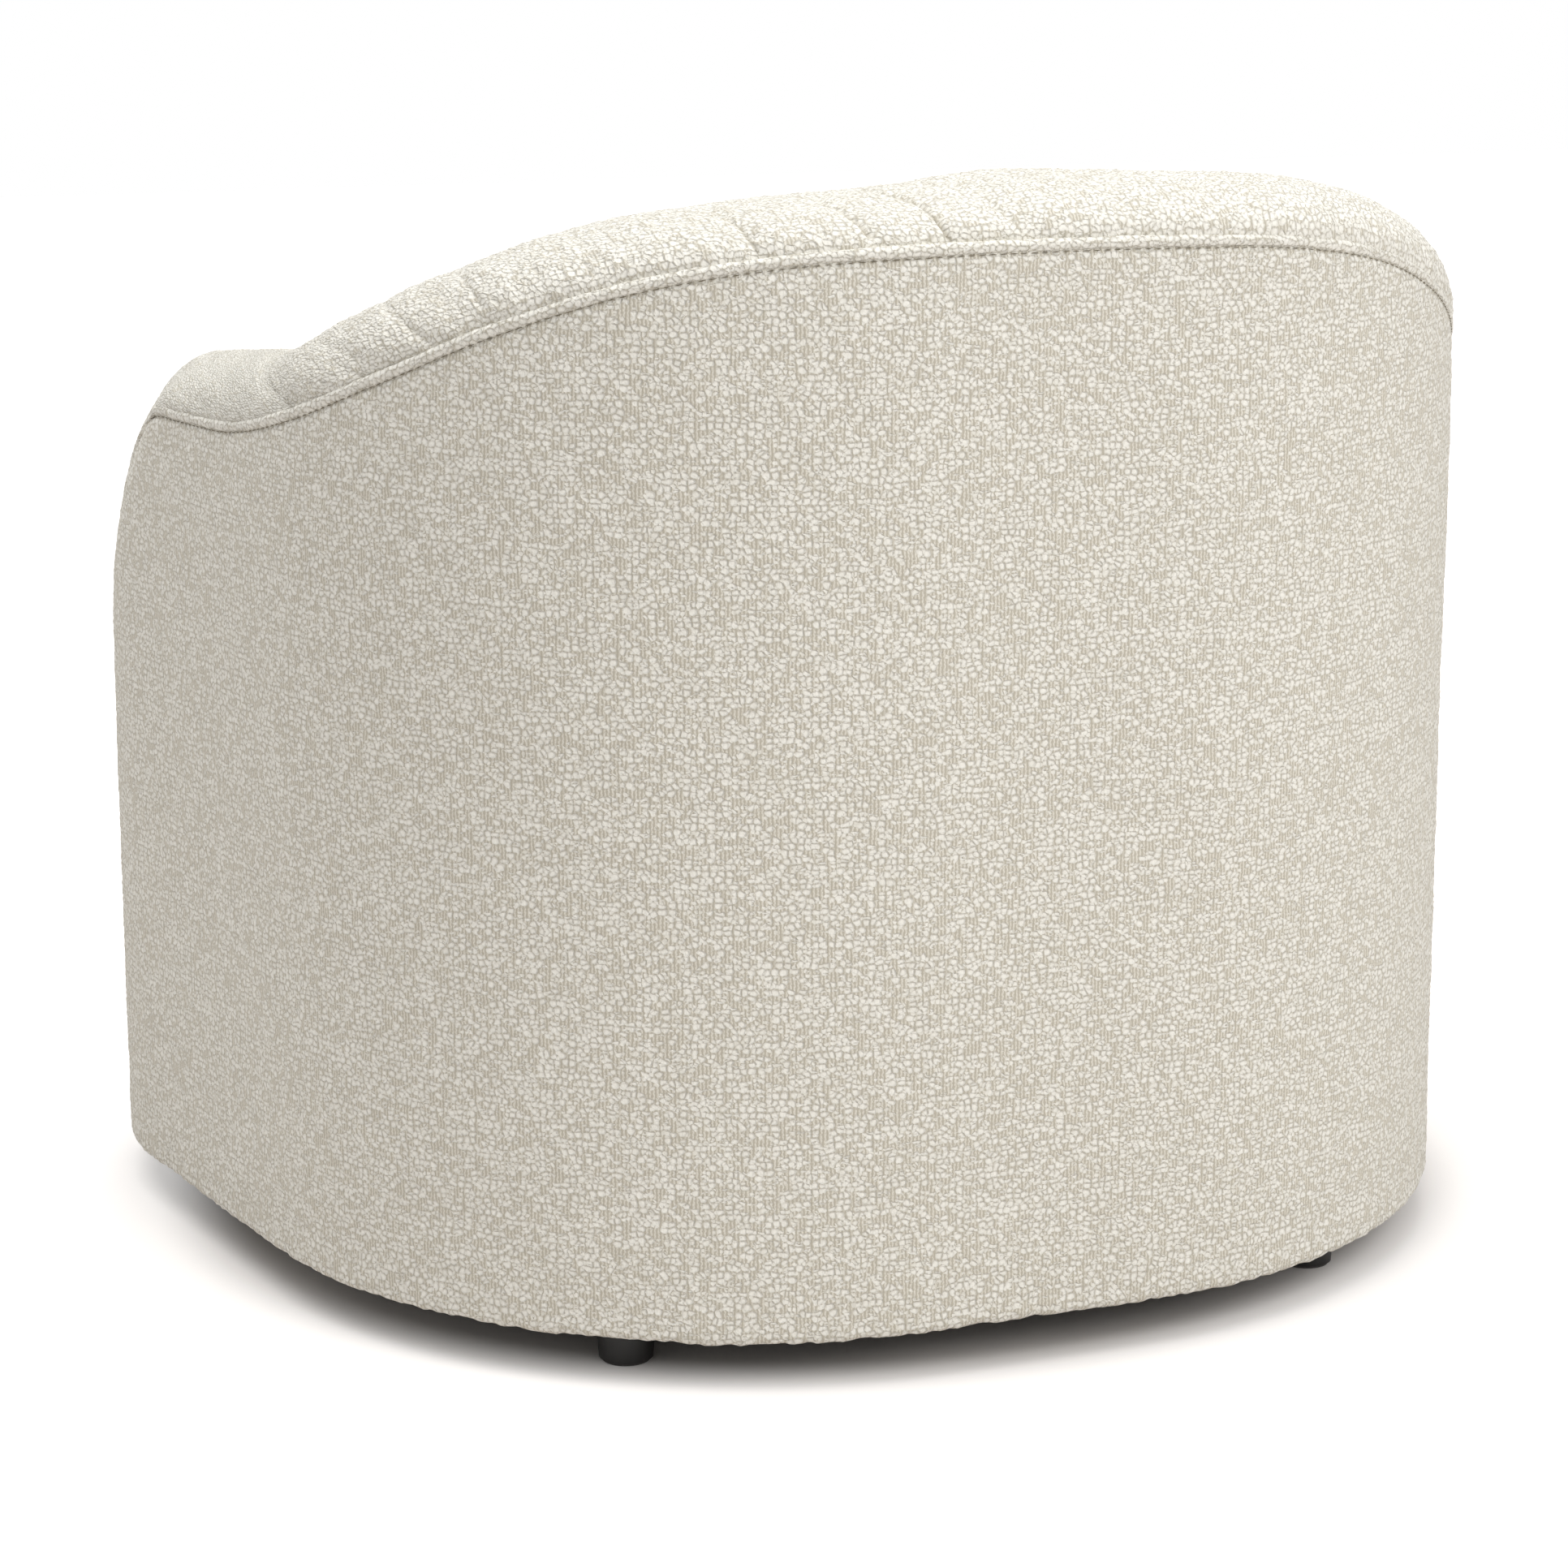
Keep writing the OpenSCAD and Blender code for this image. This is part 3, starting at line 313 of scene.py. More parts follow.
def scattered(i: Array, j: Array, seed: int) -> Array:
    """Return an even spread of values from 0 to 1, one for each whole place i, j."""
    by_i, by_j, by_seed, spread = SCATTER
    mixed = np.sin(i * by_i + j * by_j + seed * by_seed) * spread
    return mixed - np.floor(mixed)


def rolling(u: Array, v: Array, step: float, seed: int) -> Array:
    """Return soft waves from -1 to 1 at cloth places u, v, about a step apart."""
    gu, gv = u / step, v / step
    iu, iv = np.floor(gu), np.floor(gv)
    fu, fv = gu - iu, gv - iv
    fu, fv = fu * fu * (3 - 2 * fu), fv * fv * (3 - 2 * fv)
    low = scattered(iu, iv, seed) * (1 - fu) + scattered(iu + 1, iv, seed) * fu
    high = scattered(iu, iv + 1, seed) * (1 - fu) + scattered(iu + 1, iv + 1, seed) * fu
    return 2 * (low * (1 - fv) + high * fv) - 1


def loops(u: Array, v: Array, step: float = 5.2 * MM, seed: int = 3) -> Array:
    """Return the height of the cloth's yarn loops, from 0 to 1, at places u, v."""
    wide, stray_u, stray_v = 1.15, 0.8, 0.6
    least_size, more_size, least_tall, more_tall = 0.45, 0.3, 0.35, 0.65
    gu, gv = u / (step * wide), v / step
    iu, iv = np.floor(gu), np.floor(gv)
    height = np.zeros_like(gu)
    for di in (-1, 0, 1):
        for dj in (-1, 0, 1):
            cu, cv = iu + di, iv + dj
            du = cu + 0.5 + stray_u * (scattered(cu, cv, seed) - 0.5) - gu
            dv = cv + 0.5 + stray_v * (scattered(cu, cv, seed + 1) - 0.5) - gv
            size = least_size + more_size * scattered(cu, cv, seed + 2)
            tall = least_tall + more_tall * scattered(cu, cv, seed + 5)
            height = np.maximum(height, tall * np.clip(1 - (du**2 + dv**2) / size**2, 0, 1))
    return height


def hem_waves(u: Array, low: Array, high: float = 0.8 * MM, reach: float = 26 * MM,
              sag: float = 2.4 * MM) -> Array:
    """Return how far the hem's edge wanders up and down at places u, low over it."""
    wander = 0.7 * rolling(u, 0 * u, 34 * MM, seed=13) + 1.1 * rolling(u, 0 * u, 5 * MM, seed=14)
    return (high * wander - sag) * np.clip(1 - low / reach, 0, 1)


def hump(away: Array, width: float) -> Array:
    """Return a soft hump: 1 where away is 0, fading out over a width."""
    return np.exp(-((away / width) ** 2))


def filled(edge: Array, reach: float) -> Array:
    """Return how full a cover stands at distances from its edge, from 0 to 1."""
    return np.clip(edge / reach, 0, 1) ** 0.5


def lengths(points: Array, axis: int) -> Array:
    """Return the running length of a grid's lines along one of its axes."""
    steps = np.linalg.norm(np.diff(points, axis=axis), axis=-1)
    pad = [(0, 0), (0, 0)]
    pad[axis] = (1, 0)
    return np.pad(np.cumsum(steps, axis=axis), pad)


def faces_out(points: Array, flip: bool) -> Array:
    """Return a grid's unit normals, turned over where flip is true."""
    along, up = np.gradient(points, axis=0), np.gradient(points, axis=1)
    normal = np.cross(along, up)
    size = np.linalg.norm(normal, axis=-1, keepdims=True)
    normal = normal / np.maximum(size, TINY)
    return -normal if flip else normal


def respaced(lines: Array, count: int) -> Array:
    """Space each line of points evenly along its length.

    Args:
        lines: Points by line, with axes line, point, coordinate.
        count: Points that each line gets.

    Returns:
        The lines with their new points.
    """
    along = lengths(lines, 1)
    out = np.empty((len(lines), count, 3))
    for n, (line, run) in enumerate(zip(lines, along)):
        at = np.linspace(0, run[-1], count)
        for k in range(3):
            out[n, :, k] = np.interp(at, run, line[:, k])
    return out


def keep_places(mesh: bpy.types.Mesh, lay: Array, close: float = 0.0) -> None:
    """Smooth a mesh and keep where its points lie on the flat cloth.

    Args:
        mesh: The mesh.
        lay: Places on the flat cloth, one row each, in metres.
        close: How closely the cloth's loops are pushed together, from 0 to 1.
    """
    mesh.polygons.foreach_set("use_smooth", np.ones(len(mesh.polygons), bool))
    places = np.full((len(lay), 3), close, np.float32)
    places[:, :2] = lay
    mesh.attributes.new("lay", "FLOAT_VECTOR", "POINT").data.foreach_set("vector", places.ravel())


def mesh_object(name: str, points: Array, quads: Array, lay: Array, close: float = 0.0,
                folds: Array | None = None) -> bpy.types.Object:
    """Make a smooth mesh with its cloth places kept on its points.

    Args:
        name: The piece's name.
        points: Points, one row each.
        quads: Faces of four points each.
        lay: Places on the flat cloth, one row each, in metres.
        close: How closely the cloth's loops are pushed together, from 0 to 1.
        folds: How deep in a crease each point lies, from 0 to 1; the wool paints shade there.

    Returns:
        The new object, linked to the scene.
    """
    mesh = bpy.data.meshes.new(name)
    mesh.vertices.add(len(points))
    mesh.vertices.foreach_set("co", points.astype(np.float32).ravel())
    mesh.loops.add(quads.size)
    mesh.loops.foreach_set("vertex_index", quads.astype(np.int32).ravel())
    mesh.polygons.add(len(quads))
    mesh.polygons.foreach_set("loop_start", np.arange(0, quads.size, 4, dtype=np.int32))
    mesh.update(calc_edges=True)
    mesh.validate()
    keep_places(mesh, lay, close)
    if folds is not None:
        deep = folds.astype(np.float32).ravel()
        mesh.attributes.new("fold", "FLOAT", "POINT").data.foreach_set("value", deep)
    piece = bpy.data.objects.new(name, mesh)
    bpy.context.scene.collection.objects.link(piece)
    return piece


def grid_quads(rows: int, columns: int, flip: bool = False, ring: bool = False) -> Array:
    """Return the faces of a grid of points, closed round its columns where ring is true."""
    index = np.arange(rows * columns).reshape(rows, columns)
    if ring:
        index = np.concatenate([index, index[:, :1]], axis=1)
    corners = [index[:-1, :-1], index[1:, :-1], index[1:, 1:], index[:-1, 1:]]
    quads = np.stack(corners, axis=-1).reshape(-1, 4)
    return quads[:, ::-1] if flip else quads


def tube(line: Array, face: Array, radius: float, sides: int, closed: bool) -> tuple[Array, Array]:
    """Sweep a round section along a line.

    Args:
        line: Points of the centre line.
        face: A direction at each point, across the line.
        radius: The section's radius.
        sides: Points round the section.
        closed: Whether the line joins its own start.

    Returns:
        The points by ring and side, and their directions out of the tube.
    """
    if closed:
        run = np.roll(line, -1, axis=0) - np.roll(line, 1, axis=0)
    else:
        run = np.gradient(line, axis=0)
    run /= np.linalg.norm(run, axis=1, keepdims=True)
    a = face - (face * run).sum(1, keepdims=True) * run
    a /= np.linalg.norm(a, axis=1, keepdims=True)
    b = np.cross(run, a)
    turn = math.pi + np.arange(sides) * TURN / sides
    out = np.cos(turn)[None, :, None] * a[:, None] + np.sin(turn)[None, :, None] * b[:, None]
    return line[:, None] + radius * out, out


# Finishes


class Graph:
    """The nodes of a material or of the world, added one after the other."""

    def __init__(self, owner: bpy.types.Material | bpy.types.World) -> None:
        """Start with an empty node tree."""
        owner.use_nodes = True
        self.owner = owner
        self.tree = owner.node_tree
        self.tree.nodes.clear()

    def add(self, kind: str, sockets: dict | None = None, **settings: object) -> bpy.types.Node:
        """Add a node.

        Args:
            kind: The node's type, without its ShaderNode prefix.
            sockets: Inputs by name or number, each a value or another node's output.
            **settings: Properties of the node.

        Returns:
            The new node.
        """
        node = self.tree.nodes.new("ShaderNode" + kind)
        for key, value in settings.items():
            setattr(node, key, value)
        for key, value in (sockets or {}).items():
            if isinstance(value, bpy.types.NodeSocket):
                self.tree.links.new(value, node.inputs[key])
            else:
                node.inputs[key].default_value = value
        return node

    def maths(self, operation: str, *values: object) -> bpy.types.NodeSocket:
        """Add a Math node and return its output."""
        return self.add("Math", dict(enumerate(values)), operation=operation).outputs[0]

    def eased(self, value: object, low: float, high: float, to: tuple = (0, 1)) -> object:
        """Map a value smoothly from low and high to the two ends of to."""
        sockets = {0: value, 1: low, 2: high, 3: to[0], 4: to[1]}
        node = self.add("MapRange", sockets, interpolation_type="SMOOTHSTEP")
        return node.outputs[0]

    def blended(self, share: object, low: object, high: object) -> bpy.types.NodeSocket:
        """Mix two colours by a share and return the colour."""
        low, high = (c if not isinstance(c, tuple) else (*c, 1) for c in (low, high))
        node = self.add("Mix", {0: share, 6: low, 7: high}, data_type="RGBA")
        return node.outputs[2]

    def scaled(self, vector: object, scale: Colour) -> bpy.types.NodeSocket:
        """Scale a vector by three factors and return it."""
        sockets = {0: vector, 1: scale}
        return self.add("VectorMath", sockets, operation="MULTIPLY").outputs[0]

    def surface(self, sockets: dict, height: object, depth: float, strength: float) -> None:
        """Close the material with its shader and the bump that its height gives."""
        bump = self.add("Bump", {"Height": height, "Distance": depth, "Strength": strength})
        sockets = sockets | {"Normal": bump.outputs[0]}
        shader = self.add("BsdfPrincipled", sockets)
        self.add("OutputMaterial", {"Surface": shader.outputs[0]})


@dataclass(frozen=True)
class LoopedWool:
    """Cream looped wool: clusters of pale yarn loops on a fine ribbed ground, with painted shade
    under and round the loops and in creases.
    """

    name: str = "looped_wool"
    loop_pale: Colour = (0.91, 0.885, 0.81)
    loop_deep: Colour = (0.76, 0.73, 0.645)
    rib_pale: Colour = (0.79, 0.755, 0.665)
    rib_deep: Colour = (0.52, 0.48, 0.395)
    # painted shade: between is the colour painted on the ground where loops stand over it
    between: Colour = (0.50, 0.465, 0.385)
    # painted shade: creased is the colour painted deep in the cover's creases, by crease_shade
    creased: Colour = (0.34, 0.30, 0.22)
    uneven: float = 0.85
    loop_w: float = 4.5 * MM
    loop_h: float = 3.8 * MM
    small_step: float = 3.2 * MM
    rib_step: float = 2.2 * MM
    bead_step: float = 2.6 * MM
    wander: float = 1.2 * MM
    relief: float = 1.0 * MM
    bump: float = 0.8
    drift_scale: float = 90.0
    wide_scale: float = 26.0
    knit_scale: float = 160.0
    fuzz_scale: float = 900.0
    row_scale: Colour = (125.0, 265.0, 1.0)
    wide_drift: float = 5.0
    knit_drift: float = 0.6
    standing: float = 0.03
    rim: tuple[float, float] = (-0.02, 0.24)
    round_off: tuple[float, float] = (0.26, 0.66)
    rib_wave: tuple[float, float] = (-0.9, 0.5)
    bead_wave: float = 0.40
    bead_least: float = 0.62
    fuzz_wave: float = 1.3
    ground_shade: float = 0.45
    packed: float = 0.3
    chance: float = 0.75
    big_least: float = 0.385
    small_least: float = 0.50
    small_high: float = 0.50
    crease_shade: float = 0.75
    roughness: float = 0.95
    gloss: float = 0.12
    sheen: float = 0.15
    sheen_spread: float = 0.6

    def drifted(self, g: Graph, lay: object, scale: float, reach: float) -> object:
        """Return cloth places moved about by a soft noise of a scale, up to a reach."""
        noise = g.add("TexNoise", {"Vector": lay, "Scale": scale, "Detail": 2.0}).outputs["Color"]
        centred = g.add("VectorMath", {0: noise, 1: (0.5,) * 3}, operation="SUBTRACT")
        moved = g.scaled(centred.outputs[0], (2 * reach,) * 3)
        return g.add("VectorMath", {0: lay, 1: moved}, operation="ADD").outputs[0]

    def heaps(self, g: Graph, place: object, size: tuple, thick: object, least: float) -> tuple:
        """Add one set of yarn loops, standing where the yarn is thick enough.

        Args:
            g: The material's nodes.
            place: Cloth places.
            size: Width and height of the cell that a loop stands in.
            thick: How thick the yarn lies, from 0 to 1.
            least: The thickness that half of the loops need.

        Returns:
            The loops' height from 0 to 1, a value that differs from loop to loop, and
            where loops stand.
        """
        cells = g.scaled(place, (1 / size[0], 1 / size[1], 1.0))
        sockets = {"Vector": cells, "Scale": 1.0, "Randomness": self.uneven}
        cell = g.add("TexVoronoi", sockets, voronoi_dimensions="2D")
        rim = g.add("TexVoronoi", sockets, voronoi_dimensions="2D", feature="DISTANCE_TO_EDGE")
        split = g.add("SeparateColor", {0: cell.outputs["Color"]}).outputs
        chance = g.maths("MULTIPLY_ADD", g.maths("SUBTRACT", split[1], 0.5), self.chance, thick)
        stands = g.eased(chance, least - self.standing, least + self.standing)
        dome = g.eased(rim.outputs["Distance"], *self.rim)
        rounded = g.eased(cell.outputs["Distance"], *self.round_off, (1, 0))
        dome = g.maths("MULTIPLY", dome, rounded)
        return g.maths("MULTIPLY", dome, stands), split[0], stands

    def material(self) -> bpy.types.Material:
        """Build the wool's material and return it."""
        g = Graph(bpy.data.materials.new(self.name))
        lay = g.add("Attribute", attribute_name="lay").outputs["Vector"]
        close = g.add("SeparateXYZ", {0: lay}).outputs[2]
        place = self.drifted(g, lay, self.drift_scale, self.wander)
        wide = self.drifted(g, lay, self.wide_scale, self.wide_drift * self.wander)
        row = {"Vector": g.scaled(wide, self.row_scale), "Scale": 1.0, "Detail": 1.5}
        thick = g.add("TexNoise", row).outputs[0]
        thick = g.maths("MULTIPLY_ADD", close, self.packed, thick)
        size = (self.loop_w, self.loop_h)
        big, tint, stands = self.heaps(g, place, size, thick, self.big_least)
        size = (self.small_step, self.small_step * 0.9)
        small = self.heaps(g, place, size, thick, self.small_least)[0]
        loop = g.maths("MAXIMUM", big, g.maths("MULTIPLY", small, self.small_high))
        knit = self.drifted(g, lay, self.knit_scale, self.knit_drift * self.wander)
        split = g.add("SeparateXYZ", {0: knit}).outputs
        ribs = g.maths("COSINE", g.maths("MULTIPLY", split[0], TURN / self.rib_step))
        other = g.maths("SINE", g.maths("MULTIPLY", split[0], math.pi / self.rib_step))
        beads = g.maths("SINE", g.maths("MULTIPLY", split[1], TURN / self.bead_step))
        rib = g.eased(ribs, *self.rib_wave)
        beads = g.maths("MULTIPLY", other, beads)
        bead = g.maths("MULTIPLY_ADD", beads, self.bead_wave, self.bead_least)
        rib = g.maths("MULTIPLY", rib, bead)
        fine = {"Vector": lay, "Scale": self.fuzz_scale, "Detail": 3.0}
        fuzz = g.add("TexNoise", fine).outputs[0]
        mixed = g.maths("MULTIPLY_ADD", g.maths("SUBTRACT", fuzz, 0.5), self.fuzz_wave, rib)
        ground = g.blended(g.eased(mixed, 0.0, 0.9), self.rib_deep, self.rib_pale)
        # painted shade: the ground is darkened towards between under standing loops
        shade = g.maths("MULTIPLY", stands, self.ground_shade)
        ground = g.blended(shade, ground, self.between)
        tone = g.maths("MULTIPLY_ADD", fuzz, 0.6, g.maths("MULTIPLY", tint, 0.4))
        # painted shade: loops are paler where they stand tall and darker at their foot; fuzz and
        # tint give tone that differs at random
        tone = g.maths("MULTIPLY_ADD", loop, 0.35, tone)
        yarn = g.blended(g.eased(tone, 0.25, 0.95), self.loop_deep, self.loop_pale)
        colour = g.blended(g.eased(loop, 0.02, 0.26), ground, yarn)
        # painted shade: the colour darkens towards creased where the fold attribute marks a crease
        fold = g.add("Attribute", attribute_name="fold").outputs["Fac"]
        shade = g.maths("MULTIPLY", g.eased(fold, 0.15, 1.0), self.crease_shade)
        colour = g.blended(shade, colour, self.creased)
        height = g.maths("MULTIPLY_ADD", rib, 0.16, loop)
        height = g.maths("MULTIPLY_ADD", fuzz, 0.25, height)
        sockets = {
            "Base Color": colour,
            "Roughness": self.roughness,
            "Specular IOR Level": self.gloss,
            "Sheen Weight": self.sheen,
            "Sheen Roughness": self.sheen_spread,
        }
        g.surface(sockets, height, self.relief, self.bump)
        return g.owner


class Pattern(Enum):
    """The kinds of detail that the plainer finishes have."""

    GRAIN = "grain"
    PLIES = "plies"
    SPECKLE = "speckle"
    CELLS = "cells"
    WEAVE = "weave"
    BRUSHED = "brushed"


@dataclass(frozen=True)
class Finish:
    """A finish of a rigid or hidden piece: two tones and a pattern between them."""

    name: str
    pale: Colour
    deep: Colour
    pattern: Pattern
    scale: Colour
    roughness: float
    spread: float = 0.1
    metallic: float = 0.0
    relief: float = 0.2 * MM
    bump: float = 0.6
    ply: float = 3 * MM

    def share(self, g: Graph, place: bpy.types.NodeSocket) -> bpy.types.NodeSocket:
        """Return how far each place is from the deep tone to the pale one."""
        scaled = g.scaled(place, self.scale)
        noise = g.add("TexNoise", {"Vector": scaled, "Scale": 1.0, "Detail": 5.0}).outputs[0]
        if self.pattern is Pattern.CELLS:
            cell = g.add("TexVoronoi", {"Vector": scaled, "Scale": 1.0}).outputs["Distance"]
            return g.maths("MULTIPLY_ADD", noise, 0.4, g.maths("MULTIPLY", cell, 0.8))
        if self.pattern is Pattern.WEAVE:
            split = g.add("SeparateXYZ", {0: scaled}).outputs
            waves = [g.maths("SINE", g.maths("MULTIPLY", s, TURN)) for s in (split[0], split[1])]
            crossed = g.maths("MULTIPLY", *waves)
            return g.maths("MULTIPLY_ADD", crossed, 0.35, g.maths("MULTIPLY_ADD", noise, 0.3, 0.35))
        if self.pattern is Pattern.PLIES:
            split = g.add("SeparateXYZ", {0: place}).outputs
            layers = g.maths("SINE", g.maths("MULTIPLY", split[2], TURN / self.ply))
            return g.maths("MULTIPLY_ADD", layers, 0.15, noise)
        return noise

    def material(self) -> bpy.types.Material:
        """Build the finish's material and return it."""
        g = Graph(bpy.data.materials.new(self.name))
        place = g.add("TexCoord").outputs["Object"]
        share = self.share(g, place)
        rough = g.eased(share, 0.2, 0.8, (self.roughness - self.spread, self.roughness))
        sockets = {
            "Base Color": g.blended(g.eased(share, 0.3, 0.7), self.deep, self.pale),
            "Roughness": rough,
            "Metallic": self.metallic,
        }
        g.surface(sockets, share, self.relief, self.bump)
        return g.owner


FINISHES = {
    "plywood": Finish("birch_plywood", (0.62, 0.44, 0.26), (0.44, 0.29, 0.15),
                      Pattern.PLIES, (12.0, 160.0, 160.0), 0.7),
    "timber": Finish("planed_beech", (0.50, 0.32, 0.17), (0.33, 0.19, 0.09),
                     Pattern.GRAIN, (14.0, 220.0, 220.0), 0.65),
    "steel": Finish("zinc_steel", (0.60, 0.61, 0.63), (0.42, 0.43, 0.45),
                    Pattern.BRUSHED, (900.0, 900.0, 120.0), 0.42, 0.12, 1.0, 0.05 * MM),
    "board": Finish("grey_card", (0.36, 0.29, 0.21), (0.24, 0.19, 0.14),
                    Pattern.SPECKLE, (420.0, 420.0, 420.0), 0.92),
    "felt": Finish("pressed_felt", (0.26, 0.23, 0.20), (0.13, 0.11, 0.10),
                   Pattern.SPECKLE, (600.0, 600.0, 600.0), 0.97),
    "foam": Finish("seat_foam", (0.82, 0.74, 0.48), (0.66, 0.57, 0.33),
                   Pattern.CELLS, (520.0, 520.0, 520.0), 0.95),
    "wadding": Finish("white_wadding", (0.84, 0.84, 0.81), (0.68, 0.68, 0.66),
                      Pattern.SPECKLE, (240.0, 240.0, 240.0), 0.97),
    "lining": Finish("woven_lining", (0.56, 0.52, 0.44), (0.38, 0.35, 0.29),
                     Pattern.WEAVE, (700.0, 700.0, 700.0), 0.92),
    "webbing": Finish("black_webbing", (0.035, 0.035, 0.036), (0.012, 0.012, 0.012),
                      Pattern.WEAVE, (420.0, 420.0, 420.0), 0.85),
    "dust_cloth": Finish("black_dust_cloth", (0.030, 0.030, 0.031), (0.012, 0.012, 0.013),
                         Pattern.WEAVE, (500.0, 500.0, 500.0), 0.93),
    "foot_stain": Finish("black_stained_beech", (0.010, 0.009, 0.008), (0.005, 0.0045, 0.004),
                         Pattern.GRAIN, (260.0, 260.0, 22.0), 0.55, 0.12),
    "glide": Finish("grey_glide", (0.085, 0.08, 0.075), (0.05, 0.047, 0.044),
                    Pattern.SPECKLE, (800.0, 800.0, 800.0), 0.9),
    "thread": Finish("seam_thread", (0.20, 0.165, 0.11), (0.11, 0.09, 0.06),
                     Pattern.WEAVE, (1500.0, 1500.0, 1500.0), 0.9),
}
NODE_FINISHES = {
    "plywood": (
        "base_board_front", "base_board_back", "base_board_left", "base_board_right",
        "lower_back_rail", "top_rail_back", "top_rail_left", "top_rail_right",
        "arm_board_left", "arm_board_right",
    ),
    "timber": (
        "front_rail", "back_rail", "side_rail_left", "side_rail_right", "corner_blocks",
        "back_posts", "arm_posts",
    ),
    "steel": (
        "block_screws", "seat_springs", "spring_clips", "foot_bolts", "tee_nuts", "zip_slider",
    ),
    "board": (
        "outer_liner", "nose_liner_left", "nose_liner_right", "tack_strip", "arm_panel_left",
        "arm_panel_right",
    ),
    "felt": ("spring_felt",),
    "foam": (
        "deck_foam", "back_foam", "arm_foam_left", "arm_foam_right", "roll_foam",
        "nose_foam_left", "nose_foam_right", "apron_foam", "cushion_foam",
    ),
    "wadding": ("roll_wadding", "outer_wadding"),
    "webbing": ("back_webbing",),
    "foot_stain": ("feet",),
    "glide": ("foot_glides",),
}


class Wardrobe:
    """The materials, each built once and handed out by name."""

    def __init__(self) -> None:
        """Start with nothing built."""
        self.built: dict[str, bpy.types.Material] = {}

    def get(self, name: str) -> bpy.types.Material:
        """Return the material of a finish, or the wool's for cover_cloth."""
        if name not in self.built:
            finish = LoopedWool() if name == "cover_cloth" else FINISHES[name]
            self.built[name] = finish.material()
        return self.built[name]

    def dress(
        self, piece: bpy.types.Object, finish: str, body: str, nodes: tuple[str, ...]
    ) -> bpy.types.Object:
        """Give a piece its material, its body and the nodes that it stands for.

        Args:
            piece: The piece's object.
            finish: Name of its finish.
            body: Body that it rides on.
            nodes: CAD nodes that it replaces.

        Returns:
            The same piece.
        """
        piece.data.materials.append(self.get(finish))
        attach(piece, body)
        if nodes:
            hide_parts(*nodes)
        log.info("%s: %d points, on %s", piece.name, len(piece.data.vertices), body)
        return piece

    def dress_nodes(self) -> None:
        """Give every CAD node that stays its better material."""
        for finish, names in NODE_FINISHES.items():
            for name in names:
                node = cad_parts[name]
                for place in node.material_slots:
                    place.material = self.get(finish)
                if not node.material_slots:
                    node.data.materials.append(self.get(finish))
        log.info("CAD nodes dressed")


# Covers on the wall


@dataclass
class OutsidePanel:
    """The smooth panel round the back and sides, from the hem up to the welt."""

    form: WallForm
    step: float = 2.6 * MM
    under_welt: float = 1.0 * MM
    seam_dip: float = 2.6 * MM
    dip_reach: float = 3.0 * MM
    fullness: float = 1.6 * MM
    full_reach: float = 60 * MM
    swell_least: float = 0.7
    swell_wave: float = 0.5
    wave_step: float = 120 * MM
    sunk: float = 0.6 * MM
    lumps: float = 0.35 * MM
    lump_step: float = 18 * MM
    loop_h: float = 0.8 * MM

    def build(self, wardrobe: Wardrobe) -> bpy.types.Object:
        """Build the panel, dress it and return it."""
        form = self.form
        end = form.s_drop - self.under_welt
        s = np.linspace(-end, end, round(2 * end / self.step))
        at_end = np.abs(s) >= end - MM
        top = np.where(at_end, form.turn_base, form.cover_edge(s, -self.under_welt))
        top = np.maximum(top, form.turn_base)
        rows = round((form.seam_back_z - form.hem_z) / self.step)
        z = form.hem_z + (top - form.hem_z)[:, None] * np.linspace(0, 1, rows)
        base = form.hung(s[:, None], z, 0.0)
        edge = np.minimum(top[:, None] - z, end - np.abs(s)[:, None])
        u = np.broadcast_to(s[:, None], z.shape)
        low = z - form.hem_z
        waves = self.swell_least + self.swell_wave * rolling(u, z, self.wave_step, seed=11)
        height = self.fullness * filled(edge, self.full_reach) * waves - self.sunk
        height = height - self.seam_dip * hump(edge, self.dip_reach) - form.hem_rounding(low)
        height = height + self.loop_h * loops(u, z)
        height = height + self.lumps * rolling(u, z, self.lump_step, seed=12)
        points = base + faces_out(base, flip=True) * height[..., None]
        points[..., 2] += hem_waves(u, low)
        points = np.concatenate([form.turned_hem(s), points], axis=1)
        along = form.hem_places(z)
        lay = np.stack([np.broadcast_to(s[:, None], along.shape), along], axis=-1)
        quads = grid_quads(*points.shape[:2])
        piece = mesh_object("outside_panel", points.reshape(-1, 3), quads, lay.reshape(-1, 2))
        wardrobe.dress(piece, "cover_cloth", "chair", ("outside_cover",))
        return piece


